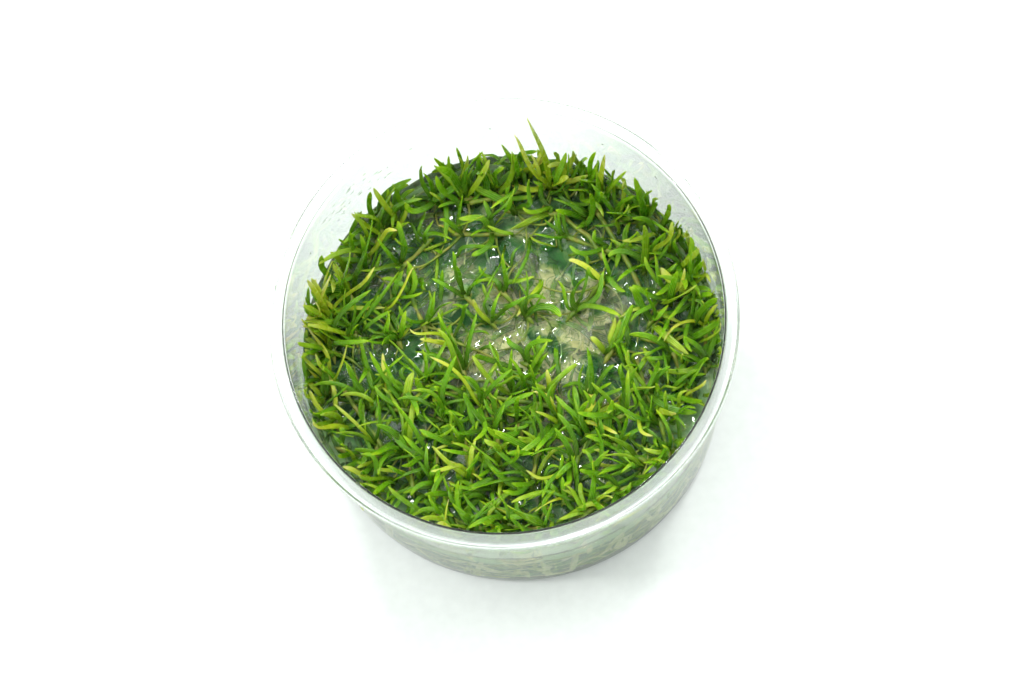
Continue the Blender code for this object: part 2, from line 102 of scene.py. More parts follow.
# %% The plan: (x, y, lean, leaves, length) of each crown
PLAN = (
    ((-17.5, 28.0, 112, 6, 11.5), (-21.0, 23.0, 135, 5, 11.0)),
    ((-15.0, 20.5, 125, 5, 10.5), (-10.5, 23.5, 80, 4, 7.0)),
    ((-7.0, 31.0, 125, 5, 9.5), (-1.5, 30.0, 97, 6, 12.0)),
    ((3.2, 30.5, 85, 5, 9.0), (8.5, 32.0, 110, 4, 10.0)),
    ((13.5, 29.0, 85, 6, 11.0), (18.0, 27.5, 70, 5, 9.5)),
    ((22.3, 25.2, 78, 6, 12.5), (19.0, 21.5, 110, 5, 8.0)),
    ((24.0, 19.5, 85, 5, 8.5), (28.5, 18.5, 65, 6, 11.5)),
    ((27.0, 10.5, 90, 4, 7.0), (30.5, 14.0, 65, 5, 9.5)),
    ((33.0, 9.0, 40, 5, 10.5), (34.0, 3.0, 60, 5, 9.0)),
    ((29.5, 4.0, 85, 5, 8.0), (25.5, 0.5, 70, 5, 8.0)),
    ((34.0, -3.5, 60, 5, 8.5), (32.5, -9.5, 80, 5, 8.5)),
    ((28.5, -13.0, 95, 5, 8.0), (27.5, -6.5, 110, 4, 7.0)),
    ((21.0, -8.0, 85, 5, 6.5), (21.5, -13.0, 60, 5, 7.5)),
    ((22.5, -18.5, 100, 5, 7.0), (22.5, -24.0, 140, 4, 7.5)),
    ((17.5, -23.5, 140, 5, 8.0), (14.0, -20.5, 110, 5, 7.0)),
    ((13.0, -28.5, 190, 5, 8.0), (6.5, -31.0, 90, 5, 7.0)),
    ((11.0, -12.0, 70, 5, 8.5), (9.5, -17.5, 85, 5, 8.0)),
    ((6.0, -14.0, 120, 5, 8.0), (3.8, -8.5, 130, 5, 8.0)),
    ((6.5, -22.0, 110, 5, 8.0), (3.5, -27.0, 105, 5, 8.5)),
    ((0.5, -18.5, 85, 5, 8.0), (-1.5, -23.0, 130, 6, 9.5)),
    ((-1.0, -32.0, 100, 4, 7.0), (-6.5, -30.0, 150, 5, 8.5)),
    ((-12.5, -29.0, 110, 5, 8.0), (-17.5, -26.0, 135, 5, 8.5)),
    ((-11.5, -14.5, 110, 5, 8.0), (-12.0, -20.5, 85, 5, 8.0)),
    ((-17.0, -15.5, 150, 5, 10.5), (-18.0, -20.0, 120, 4, 7.0)),
    ((-21.5, -12.5, 115, 5, 10.5), (-22.0, -19.0, 165, 5, 8.5)),
    ((-26.5, -10.5, 95, 4, 10.0), (-27.5, -17.5, 140, 5, 7.5)),
    ((-26.0, -3.5, 100, 5, 8.0), (-20.5, -5.5, 110, 5, 8.0)),
    ((-32.5, -4.5, 145, 5, 8.0), (-32.0, 1.5, 140, 5, 9.0)),
    ((-30.5, 8.0, 135, 6, 11.0), (-30.0, 14.0, 125, 6, 12.0)),
    ((-26.0, 10.0, 45, 4, 9.5), (-25.5, 17.0, 130, 6, 11.0)),
    ((-19.0, 7.5, 140, 5, 8.0), (-20.5, 13.5, 95, 5, 8.5)),
    ((-15.0, 14.5, 110, 4, 7.5), (-14.0, 9.0, 115, 5, 8.0)),
    ((-5.5, 12.0, 115, 5, 8.0), (-2.5, 7.0, 100, 5, 8.0)),
    ((1.0, 11.5, 95, 5, 7.5), (4.0, 6.5, 60, 5, 8.0)),
    ((-9.5, 5.0, 110, 5, 7.0), (-9.0, -1.0, 140, 5, 9.0)),
    ((-7.0, -8.5, 125, 5, 10.0), (-6.0, -14.0, 115, 6, 9.0)),
    ((-14.0, -8.0, 140, 5, 9.0), (-15.5, -2.0, 110, 5, 8.0)),
    ((-1.5, -7.0, 95, 5, 8.5), (-1.5, -13.0, 115, 6, 8.5)),
    ((12.5, 5.5, 55, 5, 9.0), (18.0, 9.0, 100, 4, 7.0)),
    ((20.5, 14.5, 130, 5, 7.0), (14.5, 18.5, 95, 4, 7.0)),
    ((13.0, 23.5, 150, 4, 7.0), (6.5, 25.5, 80, 5, 7.0)),
    ((2.0, 22.5, 140, 4, 8.5), (-4.0, 24.0, 110, 4, 6.5)),
    ((-6.5, -20.0, 105, 5, 8.5), (-7.5, -24.0, 160, 4, 7.5)),
    ((-32.0, -10.5, 140, 5, 7.5),),
    ((2.5, -2.5, 100, 4, 7.0),),
    ((16.5, -4.0, 80, 3, 6.0),),
    ((16.0, -15.5, 100, 4, 7.5),),
)

# %% Leaves that stand out, by (plant, crown): (turn, rise, tip turn, tip rise, length)
STANDING_OUT = {
    (5, 1): ((85, 73, 124, 76, 21.0), (150, 66, 130, 74, 18.5)),
    (30, 1): ((42, 30, 40, 8, 13.0),),
    (33, 1): ((116, 48, 102, 22, 9.5),),
    (35, 2): ((134, 48, 160, -12, 10.0),),
    (36, 1): ((124, 40, 128, 12, 12.5),),
    (37, 1): ((128, 48, 178, -8, 10.0),),
    (29, 2): ((112, 76, 124, 82, 15.0), (182, 76, 152, 82, 13.5)),
    (6, 1): ((70, 78, 62, 88, 13.5),),
    (1, 1): ((108, 74, 92, 84, 11.5),),
    (25, 1): ((150, 40, 190, 6, 10.5),),
    (20, 2): ((168, 30, 184, 8, 9.5),),
    (1, 2): ((126, 64, 122, 76, 12.0),),
}
print("plants", len(PLAN), "crowns", sum(map(len, PLAN)))

# %% [markdown]
# ## Where the gel and the wall are
#
# Everything that grows has to know two surfaces: the cup's inner wall, which tapers, and the top
# of the gel, which swells and sinks and climbs a little at the wall. Both are functions, so that
# leaves, stems, gel and water drops can all ask them.

# %% The two surfaces that hold the plants
def smooth_step(value):
    value = min(max(value, 0.0), 1.0)
    return value * value * (3 - 2 * value)


def wall_inner_radius(z):
    base = BASE_RADIUS - WALL
    return base + (MOUTH_RADIUS - base) * z / CUP_HEIGHT


def gel_height(x, y):
    swell = SWELL * math.sin(x / SWELL_LENGTHS[0] + 0.6) * math.cos(y / SWELL_LENGTHS[1])
    swell += RIPPLE * math.sin((x + y) / RIPPLE_LENGTH)
    from_hollow = math.hypot(x - HOLLOW_PLACE[0], y - HOLLOW_PLACE[1])
    hollow = HOLLOW_DEPTH * math.exp(-((from_hollow / HOLLOW_WIDTH) ** 2))
    lip = MENISCUS * smooth_step((math.hypot(x, y) - MENISCUS_START) / MENISCUS_WIDTH)
    return GEL_LEVEL + swell - hollow + lip


def crown_centre(x, y):
    return Vector((x, y, gel_height(x, y) + CROWN_RADIUS + CROWN_LIFT))


def stem_route(crowns):
    """Points (x, y, z, radius) of a creeping stem through its crowns."""
    centres = [crown_centre(x, y) for x, y, *_ in crowns]
    if len(centres) > 1:
        along = (centres[1] - centres[0]).xy.normalized().to_3d()
    else:
        along = Vector((math.cos(centres[0].x), math.sin(centres[0].x), 0.0))
    route = [(*(centres[0] - STEM_START * along), STEM_RADIUS)]
    for number, centre in enumerate(centres):
        for end in (-1, 1):
            route.append((*(centre + end * CROWN_HALF_LENGTH * along), CROWN_RADIUS))
        if number + 1 < len(centres):
            middle = centre.lerp(centres[number + 1], 0.5)
            middle.z = gel_height(middle.x, middle.y) + STEM_RADIUS + CROWN_LIFT
            route.append((*middle, STEM_RADIUS))
    route.append((*(centres[-1] + STEM_END * along), STEM_TIP_SHARE * STEM_RADIUS))
    return route


print("wall at the mouth", wall_inner_radius(CUP_HEIGHT), "gel at the centre", round(gel_height(0, 0), 2))

# %% [markdown]
# ## The real wall is thin
#
# The solids' wall is 1.1 mm thick, so that it is sturdy as a collision shape. The moulded cup is
# thinner, about 0.3 mm, and its rim is folded outwards and down, which shows as a clear band. The
# finished pieces keep to this thin wall, which lies inside the solid one's outline.

# %% The thin wall
SHELL = 0.3
SHELL_MOUTH_RADIUS = 37.7


def shell_radius(z):
    """Radius in mm of the moulded wall's outer side at height z."""
    return BASE_RADIUS + (SHELL_MOUTH_RADIUS - BASE_RADIUS) * z / CUP_HEIGHT


def inside_radius(z):
    return shell_radius(z) - SHELL


print("wall's inner radius at the gel", round(inside_radius(GEL_LEVEL), 2))

# %% [markdown]
# ## Growing the leaves' curves
#
# A leaf is a curve of three points: its base in the crown, a bend, and its tip. Each crown draws
# its leaves from a random generator of its own with a fixed seed, and keeps a leaf only if it
# stays inside the cup, above the gel and clear of the neighbours. The long leaves that stand out
# come first, so that nothing takes their place. These are the same draws as the solids', in the
# same order.

# %% The shape of one leaf's curve
def leaf_curve(leaf, t):
    base, bend, tip = leaf
    return base.lerp(bend, t).lerp(bend.lerp(tip, t), t)


def samples(leaf):
    return np.array([leaf_curve(leaf, k / LEAF_SAMPLES)[:] for k in range(1, LEAF_SAMPLES + 1)])


def heading(turn, rise):
    """The unit vector turned from +X about +Z and raised from level, both in degrees."""
    turn, rise = math.radians(turn), math.radians(rise)
    return Vector((math.cos(turn) * math.cos(rise), math.sin(turn) * math.cos(rise), math.sin(rise)))


def shaped_leaf(base, turn, rise, tip_turn, tip_rise, length):
    bend = base + 0.5 * length * heading(turn, rise)
    return base, bend, bend + 0.5 * length * heading(tip_turn, tip_rise)


def drawn_leaf(rng, base, lean, length):
    turn = rng.gauss(lean, LEAN_SPREAD)
    rise = rng.uniform(*RISE)
    tip_turn = turn + rng.gauss(0, TWIST_SPREAD)
    tip_rise = rise - rng.uniform(*DROOP)
    length *= rng.uniform(*LENGTH_SHARE)
    return shaped_leaf(base, turn, rise, tip_turn, tip_rise, length)


print("straight up", [round(k, 3) for k in heading(0, 90)])

# %% Keeping the leaves apart
def fits(points, own, others):
    """Whether a leaf stays in the cup, above the gel and clear of all that stands already."""
    for x, y, z in points:
        if math.hypot(x, y) > wall_inner_radius(z) - WALL_CLEARANCE:
            return False
    for x, y, z in points[2:]:
        if z < gel_height(x, y) + GEL_CLEARANCE:
            return False
    if len(own) and np.linalg.norm(points[3:, None] - own[None], axis=2).min() < LEAF_CLEARANCE:
        return False
    return np.linalg.norm(points[:, None] - others[None], axis=2).min() >= LEAF_CLEARANCE


def stem_points(route):
    spots = []
    places = [np.array(point[:3]) for point in route]
    for start, end in zip(places, places[1:]):
        count = max(2, int(np.linalg.norm(end - start) / 0.8))
        spots += [start + (end - start) * k / count for k in range(count + 1)]
    return np.array(spots)


def grown_leaves():
    """For each plant, the leaves of each of its crowns: first the ones that stand out."""
    stems = [stem_points(stem_route(crowns)) for crowns in PLAN]
    nowhere = np.array([[0.0, 0.0, -1000.0]])
    standing = [[nowhere] for _ in PLAN]
    grown = [[[] for _ in crowns] for crowns in PLAN]

    def add_leaf(plant, crown, leaf):
        points = samples(leaf)
        own = np.concatenate([s[2:] for s in standing[plant]] + [nowhere])
        others = np.concatenate([stems[k] for k in range(len(PLAN)) if k != plant]
                                + [s for k in range(len(PLAN)) if k != plant for s in standing[k]])
        if not fits(points, own, others):
            return False
        standing[plant].append(points)
        grown[plant][crown].append(leaf)
        return True

    for (plant, crown), leaves in STANDING_OUT.items():
        base = crown_centre(*PLAN[plant - 1][crown - 1][:2])
        for leaf in leaves:
            add_leaf(plant - 1, crown - 1, shaped_leaf(base, *leaf))
    for plant, crowns in enumerate(PLAN):
        for crown, (x, y, lean, leaves, length) in enumerate(crowns):
            rng = random.Random(SEED + 100 * plant + crown)
            base = crown_centre(x, y)
            for _ in range(leaves - len(grown[plant][crown])):
                for _ in range(TRIES):
                    if add_leaf(plant, crown, drawn_leaf(rng, base, lean, length)):
                        break
    return grown


LEAVES = grown_leaves()
print("leaves on the solids' curves", sum(len(leaves) for plant in LEAVES for leaves in plant))

# %% [markdown]
# ## Tools for materials
#
# A colour is written as the sRGB hex value that an eye or a colour picker gives, and one function
# turns it to the linear numbers that Blender's shaders work in. One other function adds a node,
# with its settings, its values and its incoming links, so that a material reads as a list.

# %% Colour and nodes
def srgb(code):
    channels = [int(code[k:k + 2], 16) / 255 for k in (1, 3, 5)]
    linear = [c / 12.92 if c <= 0.04045 else ((c + 0.055) / 1.055) ** 2.4 for c in channels]
    return (*linear, 1.0)


def new_material(name, **plain):
    """A material's name, its node tree and its shader, with the shader's own plain values set."""
    made = bpy.data.materials.new(name)
    made.use_nodes = True
    shader = made.node_tree.nodes["Principled BSDF"]
    for socket, value in plain.items():
        shader.inputs[socket.replace("_", " ")].default_value = value
    return made, made.node_tree, shader


def add_node(tree, kind, values=(), links=(), stops=(), **settings):
    """Adds a node. Settings are its properties, values its sockets' numbers, links its wires,
    and stops the places from 0 to 1 and hex colours of a ramp."""
    made = tree.nodes.new(kind)
    for name, value in settings.items():
        setattr(made, name, value)
    for socket, value in dict(values).items():
        made.inputs[socket].default_value = value
    for socket, source in dict(links).items():
        tree.links.new(source, made.inputs[socket])
    for number, (place, code) in enumerate(stops):
        ramp = made.color_ramp.elements
        stop = ramp[number] if number < len(ramp) else ramp.new(place)
        stop.position, stop.color = place, srgb(code)
    return made


def per_mm(size):
    """The scale that makes a pattern's features about this many millimetres wide."""
    return 1 / (size * MM)


print("linear value of #808080", round(srgb("#808080")[0], 3))

# %% [markdown]
# ## The leaf's finish
#
# A Lilaeopsis leaf is a soft, hollow blade with a waxy wet skin, so light both shines off it and
# glows through it. It is yellower towards its tip, with faint veins along it, and it is drawn
# darker towards the crown as painted shade, for the shade that the tufts cast on the leaves' feet.
# Three numbers are stored on the mesh to drive this: how far a point is along its leaf, how far
# across, and the tone of the leaf as a whole, from deep green at 0 over fresh green to yellow at 1.

# %% Material: Lilaeopsis leaf
# To the eye: a wet satin skin with soft highlights along the blade, a green that turns warmer and
# lighter towards the tip, darker towards the crown by a painted shade, and a glow where light comes
# through the thin edges. The real veins are finer than a pixel, so broader ones are drawn, a quarter
# of the blade's width apart. The mottling is about 1.6 mm wide.
VEINS_ACROSS = 4
VEIN_HEIGHT_MM = 0.05
MOTTLE_MM = 1.6
LEAF_GLOW_MM = 0.6
LEAF, tree, shader = new_material("lilaeopsis leaf, grown in vitro", IOR=1.42,
                                  Specular_IOR_Level=0.35, Subsurface_Weight=0.5,
                                  Subsurface_Radius=(0.5, 1.0, 0.08),
                                  Subsurface_Scale=LEAF_GLOW_MM * MM)
along = add_node(tree, "ShaderNodeAttribute", attribute_name="along").outputs["Fac"]
across = add_node(tree, "ShaderNodeAttribute", attribute_name="across").outputs["Fac"]
tone = add_node(tree, "ShaderNodeAttribute", attribute_name="tone").outputs["Fac"]
where = add_node(tree, "ShaderNodeTexCoord").outputs["Object"]
patches = add_node(tree, "ShaderNodeTexNoise", {"Scale": per_mm(MOTTLE_MM), "Detail": 3.0},
                   {"Vector": where}).outputs["Fac"]
shifted = add_node(tree, "ShaderNodeMath", {1: 0.45, 2: -0.22}, {0: patches},
                   operation="MULTIPLY_ADD").outputs[0]
place = add_node(tree, "ShaderNodeMath", {}, {0: along, 1: shifted}, operation="ADD").outputs[0]
# Each ramp runs from the crown at 0 to the tip at 1. Its dark start is painted shade at the leaf's foot,
# and its light end is the tip's own colour.
deep = add_node(tree, "ShaderNodeValToRGB", {}, {0: place},
                ((0.0, "#12340A"), (0.35, "#2A5F04"), (0.75, "#4C8A04"), (1.0, "#78AA0C")))
fresh = add_node(tree, "ShaderNodeValToRGB", {}, {0: place},
                 ((0.0, "#184806"), (0.35, "#367604"), (0.75, "#669E04"), (1.0, "#9CC018")))
yellow = add_node(tree, "ShaderNodeValToRGB", {}, {0: place},
                  ((0.0, "#6C9410"), (0.4, "#A8BC22"), (0.8, "#CCD14A"), (1.0, "#DCDD82")))
first = add_node(tree, "ShaderNodeMapRange", {"From Min": 0.0, "From Max": 0.5},
                 {"Value": tone}).outputs[0]
second = add_node(tree, "ShaderNodeMapRange", {"From Min": 0.5, "From Max": 1.0},
                  {"Value": tone}).outputs[0]
green = add_node(tree, "ShaderNodeMix", {}, {0: first, 6: deep.outputs[0], 7: fresh.outputs[0]},
                 data_type="RGBA").outputs[2]
mixed = add_node(tree, "ShaderNodeMix", {}, {0: second, 6: green, 7: yellow.outputs[0]},
                 data_type="RGBA").outputs[2]
turns = add_node(tree, "ShaderNodeMath", {1: VEINS_ACROSS * math.pi}, {0: across},
                 operation="MULTIPLY").outputs[0]
veins = add_node(tree, "ShaderNodeMath", {}, {0: turns}, operation="COSINE").outputs[0]
lighter = add_node(tree, "ShaderNodeMapRange",
                   {"From Min": 0.2, "From Max": 1.0, "To Min": 0.0, "To Max": 0.3},
                   {"Value": veins}).outputs[0]
veined = add_node(tree, "ShaderNodeMix", {7: srgb("#BEDA48")}, {0: lighter, 6: mixed},
                  data_type="RGBA").outputs[2]
tree.links.new(veined, shader.inputs["Base Color"])
dull = add_node(tree, "ShaderNodeMapRange", {"To Min": 0.15, "To Max": 0.38},
                {"Value": patches}).outputs[0]
tree.links.new(dull, shader.inputs["Roughness"])
relief = add_node(tree, "ShaderNodeBump", {"Strength": 0.5, "Distance": VEIN_HEIGHT_MM * MM},
                  {"Height": veins}).outputs[0]
tree.links.new(relief, shader.inputs["Normal"])
print(LEAF.name, len(tree.nodes), "nodes")

# %% [markdown]
# ## The stolon's finish
#
# The creeping stems are thin, olive to brown, ringed by nodes and a little rougher than the
# leaves. Brown comes from tannin in old tissue, so it is laid on in patches about 2 mm long.

# %% Material: stolon
# To the eye: a dull olive cord with tan patches, its weak gloss broken by a fine grain.
TAN_PATCH_MM, GRAIN_MM = 2.2, 0.35
STOLON, tree, shader = new_material("lilaeopsis stolon, olive and tanned", IOR=1.42,
                                    Subsurface_Weight=0.12, Subsurface_Scale=0.3 * MM,
                                    Subsurface_Radius=(0.8, 0.8, 0.2))
where = add_node(tree, "ShaderNodeTexCoord").outputs["Object"]
patches = add_node(tree, "ShaderNodeTexNoise", {"Scale": per_mm(TAN_PATCH_MM), "Detail": 4.0},
                   {"Vector": where}).outputs["Fac"]
colours = add_node(tree, "ShaderNodeValToRGB", {}, {0: patches},
                   ((0.30, "#3F6212"), (0.46, "#6F8A24"), (0.60, "#8A9038"), (0.75, "#6F6228")))
tree.links.new(colours.outputs[0], shader.inputs["Base Color"])
grain = add_node(tree, "ShaderNodeTexNoise", {"Scale": per_mm(GRAIN_MM)},
                 {"Vector": where}).outputs["Fac"]
dull = add_node(tree, "ShaderNodeMapRange", {"To Min": 0.3, "To Max": 0.6},
                {"Value": grain}).outputs[0]
tree.links.new(dull, shader.inputs["Roughness"])
relief = add_node(tree, "ShaderNodeBump", {"Strength": 0.4, "Distance": 0.05 * MM},
                  {"Height": grain}).outputs[0]
tree.links.new(relief, shader.inputs["Normal"])
print(STOLON.name)

# %% [markdown]
# ## Making a blade and a stem
#
# A blade could be a flat card, but a card has no thickness and looks like paper from the side. Here
# each leaf is a closed body: stations along its curve, each a thin lens with its edges a little
# raised, nearly even in width and drawn in to a blunt point. It twists as it goes. A stem is a
# round tube through its route, smoothed by a spline. Both are collected in one store for each
# plant and become one mesh, because a plant is one living piece.

# %% A store that collects bodies into one mesh
class Store:
    def __init__(self):
        self.points, self.faces, self.slots = [], [], []
        self.numbers = {"along": [], "across": [], "tone": []}

    def add(self, points, faces, slot=0, along=None, across=None, tone=0.0):
        start = len(self.points)
        self.points += points
        self.faces += [[start + k for k in face] for face in faces]
        self.slots += [slot] * len(faces)
        self.numbers["along"] += along or [0.0] * len(points)
        self.numbers["across"] += across or [0.0] * len(points)
        self.numbers["tone"] += [tone] * len(points)

    def build(self, name, materials):
        mesh = bpy.data.meshes.new(name)
        mesh.from_pydata([tuple(p * MM) for p in self.points], [], self.faces)
        for made in materials:
            mesh.materials.append(made)
        mesh.polygons.foreach_set("material_index", self.slots)
        mesh.polygons.foreach_set("use_smooth", [True] * len(self.faces))
        for key, values in self.numbers.items():
            mesh.attributes.new(key, "FLOAT", "POINT").data.foreach_set("value", values)
        mesh.update()
        piece = bpy.data.objects.new(name, mesh)
        bpy.context.scene.collection.objects.link(piece)
        return piece


def tube_faces(rings, sides):
    """The faces of a tube with closed ends, whose rings follow one another in the points."""
    faces = [[k * sides + s, k * sides + (s + 1) % sides, (k + 1) * sides + (s + 1) % sides,
              (k + 1) * sides + s] for k in range(rings - 1) for s in range(sides)]
    return faces + [list(reversed(range(sides))), [(rings - 1) * sides + s for s in range(sides)]]


def side_and_upper(along, twist=0.0):
    """Two unit vectors across a curve that runs along, turned about it by twist."""
    side = along.cross(Vector((0, 0, 1)))
    side = side.normalized() if side.length > 1e-3 else Vector((1, 0, 0))
    turn = Matrix.Rotation(twist, 3, along)
    return turn @ side, turn @ side.cross(along)


print("faces of a tube of three rings of eight", len(tube_faces(3, 8)))

# %% One blade
STATIONS = (0.0, 0.06, 0.13, 0.21, 0.30, 0.39, 0.48, 0.57, 0.66, 0.75, 0.83, 0.90, 0.955, 0.99)
BLADE_SECTION = ((-1.0, 0), (-0.6, 1), (0.0, 1), (0.6, 1), (1.0, 0), (0.6, -1), (0.0, -1),
                 (-0.6, -1))
TAPER_START = 0.7


def blade_width(t, width):
    """A strap: nearly even in width, then drawn in quickly to a tip that is a little blunt."""
    body = 0.68 + 0.32 * smooth_step(t / 0.3)
    end = max(t - TAPER_START, 0.0) / (1 - TAPER_START)
    return width * body * (1 - end ** 2.4) ** 0.65


def wavy(curve, rng, size):
    """A curve bent a little off its course, as living leaves are; its foot stays."""
    turns = [rng.uniform(0, 2 * math.pi) for _ in range(3)]
    pace = rng.uniform(3.0, 6.0)

    def place(t):
        off = [size * math.sin(pace * t + turn) - size * math.sin(turn) for turn in turns]
        return curve(t) + min(t / 0.3, 1.0) * Vector((off[0], off[1], 0.6 * off[2]))
    return place


def add_blade(store, curve, width, thick, twist=0.0, tone=0.5, slot=0, roll=0.0):
    """Adds a leaf along curve(t), with its edges raised, rolled over by roll and twisting by twist
    towards its tip."""
    points, along, across = [], [], []
    for t in STATIONS:
        here = curve(t)
        ahead = (curve(min(t + 0.03, 1.0)) - curve(max(t - 0.03, 0.0))).normalized()
        side, upper = side_and_upper(ahead, roll + twist * (t - 0.2))
        half = blade_width(t, width) / 2
        deep = thick * (1.15 - 0.55 * t) * min(1.0, half / (0.15 * width)) / 2
        for a, level in BLADE_SECTION:
            raised = 0.22 * half * a * a - 0.06 * half
            fill = deep * math.sqrt(1 - a * a) * (0.75 if level > 0 else 1.0)
            points.append(here + side * (half * a) + upper * (raised + level * fill))
            along.append(t)
            across.append(a)
    store.add(points, tube_faces(len(STATIONS), len(BLADE_SECTION)), slot, along, across, tone)


print("faces of a blade", len(tube_faces(len(STATIONS), len(BLADE_SECTION))))

# %% One stem
def spline_points(places, steps):
    """A smooth run of points through the places given, each a vector with a radius in w."""
    ends = [2 * places[0] - places[1], *places, 2 * places[-1] - places[-2]]
    run = []
    for k in range(1, len(ends) - 2):
        a, b, c, d = ends[k - 1:k + 3]
        for s in range(steps):
            t = s / steps
            run.append(0.5 * (2 * b + (c - a) * t + (2 * a - 5 * b + 4 * c - d) * t * t
                              + (3 * b - a - 3 * c + d) * t ** 3))
    return run + [places[-1]]


def add_tube(store, places, steps=5, sides=8, slot=0, tone=0.5, along=None):
    """Adds a round tube through places, each a vector (x, y, z, radius)."""
    run = spline_points(places, steps)
    points, share = [], []
    for k, here in enumerate(run):
        ahead = (run[min(k + 1, len(run) - 1)] - run[max(k - 1, 0)]).to_3d().normalized()
        side, upper = side_and_upper(ahead)
        for s in range(sides):
            angle = 2 * math.pi * s / sides
            points.append(here.to_3d() + max(here.w, 0.03)
                          * (math.cos(angle) * side + math.sin(angle) * upper))
            share.append(k / (len(run) - 1) if along is None else along)
    store.add(points, tube_faces(len(run), sides), slot, share, None, tone)


print("points of a spline through three places", len(spline_points([Vector((0, 0, 0, 1))] * 3, 5)))

# %% [markdown]
# ## The plants
#
# Each plant gets blades on the curves of its solid's leaves, many of them a little longer than the
# solid's. Round them comes what is too small for a solid: taller leaves in the outermost row, low
# leaves whose deep green is painted shade, young shoots, side stems and roots. Scattered copies of
# one leaf would be quicker, but here no two leaves are the same. A leaf's tone is drawn too: most
# are green, from deep to fresh, and a few have gone yellow, most of all high on the wall. One mesh
# stands for each solid, because a plant is one living thing. The clearings are where the gel shows
# between tufts.

# %% What every leaf is given
LEAF_THICK = 0.4
LEAF_WIDTH = (0.83, 0.2)
NARROWEST, WIDEST = 0.55, 1.4
TWIST_DEGREES = 60
LEAF_WALL_GAP = 0.4
VISIBLE_LEVEL = 0.55
CLEARINGS = ((3.0, 13.0, 22.5, 18.0), (25.0, -6.0, 8.0, 7.0), (-28.5, -8.0, 6.0, 5.0))
YELLOW_SHARE = 0.07


def openness(x, y):
    """1 in the clearings where the gel shows, 0 where the plants stand densely."""
    far = min(math.hypot((x - place_x) / wide, (y - place_y) / deep)
              for place_x, place_y, wide, deep in CLEARINGS)
    return 1 - smooth_step((far - 0.75) / 0.4)


def drawn_tone(rng, mean, spread, least=0.0):
    return min(max(rng.gauss(mean, spread), least), 1.0)


def leaf_tone(rng, leaf):
    """From deep green at 0 to yellow at 1; leaves that lean on the wall high up are the yellowest."""
    tip = leaf[2]
    tone = rng.gauss(0.29, 0.23)
    near_wall = smooth_step((math.hypot(tip.x, tip.y) - 32.5) / 4)
    if tip.z > 25 and near_wall > 0:
        tone += near_wall * rng.uniform(0.0, 0.5)
    if rng.random() < YELLOW_SHARE:
        tone = rng.uniform(0.65, 1.0)
    return min(max(tone, 0.02), 1.0)


def kept_in(curve, clearance=LEAF_WALL_GAP):
    """The same curve, drawn in where it would go into the wall."""
    def place(t):
        spot = curve(t)
        most = inside_radius(spot.z) - clearance
        out = math.hypot(spot.x, spot.y)
        if out > most:
            spot = Vector((spot.x * most / out, spot.y * most / out, spot.z))
        return spot
    return place


def add_leaf_blade(store, rng, leaf, wave, tone, wider=0.0, reach=1.0):
    """Adds a leaf that waves by wave mm, goes on past its tip by reach and is wider than most."""
    width = min(max(rng.gauss(*LEAF_WIDTH), NARROWEST), WIDEST) + wider
    curve = kept_in(wavy(lambda t: leaf_curve(leaf, reach * t), rng, wave))
    add_blade(store, curve, width, LEAF_THICK, math.radians(rng.gauss(0, TWIST_DEGREES)), tone)


def foot_near(rng, base, spread, deepest, highest):
    """A place round a crown, a little under it, where a leaf leaves the gel."""
    return base + Vector((rng.uniform(-spread, spread), rng.uniform(-spread, spread),
                          rng.uniform(deepest, highest)))


print("how open it is at the axis", round(openness(0, 0), 2))

# %% The planned leaves, and the outermost row
TALL = 28.0
LONGEST_REACH = 1.3
LESS_IN_CLEARINGS = 0.2
BACK_FROM, BACK_WIDER = 24, 0.2
EDGE_ROW = 27.5
EDGE_RISE, EDGE_LENGTH, EDGE_TONE = (45, 80), (8.0, 13.0), (0.55, 0.2, 0.1)


def add_planned_leaves(store, rng, leaves, pale, open_here):
    """Blades on the curves of the solid's leaves; those that are tall already get no longer."""
    for base, bend, tip in leaves:
        leaf = (foot_near(rng, base, 0.7, -1.1, -0.3), bend, tip)
        tone = rng.uniform(0.8, 1.0) if pale else leaf_tone(rng, leaf)
        longest = LONGEST_REACH - LESS_IN_CLEARINGS * open_here
        reach = 1.0 if tip.z > TALL else rng.uniform(1.0, longest)
        wider = BACK_WIDER if base.y > BACK_FROM else 0.0
        add_leaf_blade(store, rng, leaf, rng.uniform(0.3, 1.0), tone, wider, reach)


def add_edge_row(store, rng, x, y):
    """Two or three taller leaves on a crown near the wall, leaning out to it."""
    outward = math.degrees(math.atan2(y, x))
    for _ in range(rng.randint(2, 3)):
        foot = foot_near(rng, crown_centre(x, y), 2.5, -1.1, -0.6)
        rise = rng.uniform(*EDGE_RISE)
        turn = rng.gauss(outward, 30)
        tall = shaped_leaf(foot, turn, rise, turn + rng.gauss(0, 25), rise + rng.uniform(-25, 15),
                           rng.uniform(*EDGE_LENGTH))
        add_leaf_blade(store, rng, tall, rng.uniform(0.2, 0.7), drawn_tone(rng, *EDGE_TONE), 0.1)


print("crowns in the outermost row",
      sum(math.hypot(x, y) > EDGE_ROW for crowns in PLAN for x, y, *_ in crowns))

# %% Low leaves, shoots, side stems and roots
SHOOT_LENGTHS = (5.5, 12.0)
# The low leaves' tone is held near deep green: painted shade under the taller tufts.
LOW_LEAVES, LOW_REACH, LOW_SHADE_TONE, LOW_WIDER = (3, 7), 3.5, (0.0, 0.2), -0.05
SHOOTS, SHOOT_TONE, SHOOT_WIDER = (1.5, 4.5), (0.38, 0.24), -0.12
SIDE_STEM_LENGTHS, SIDE_STEM_RADIUS, SIDE_STEM_BENDS = (5.0, 12.0), (0.18, 0.3), 4
SIDE_LEAF_TONE = (0.5, 0.22)
ROOTS_EACH = 3
ROOT_SPREAD, ROOT_DROP = (0.8, 2.6), (2.5, 6.0)


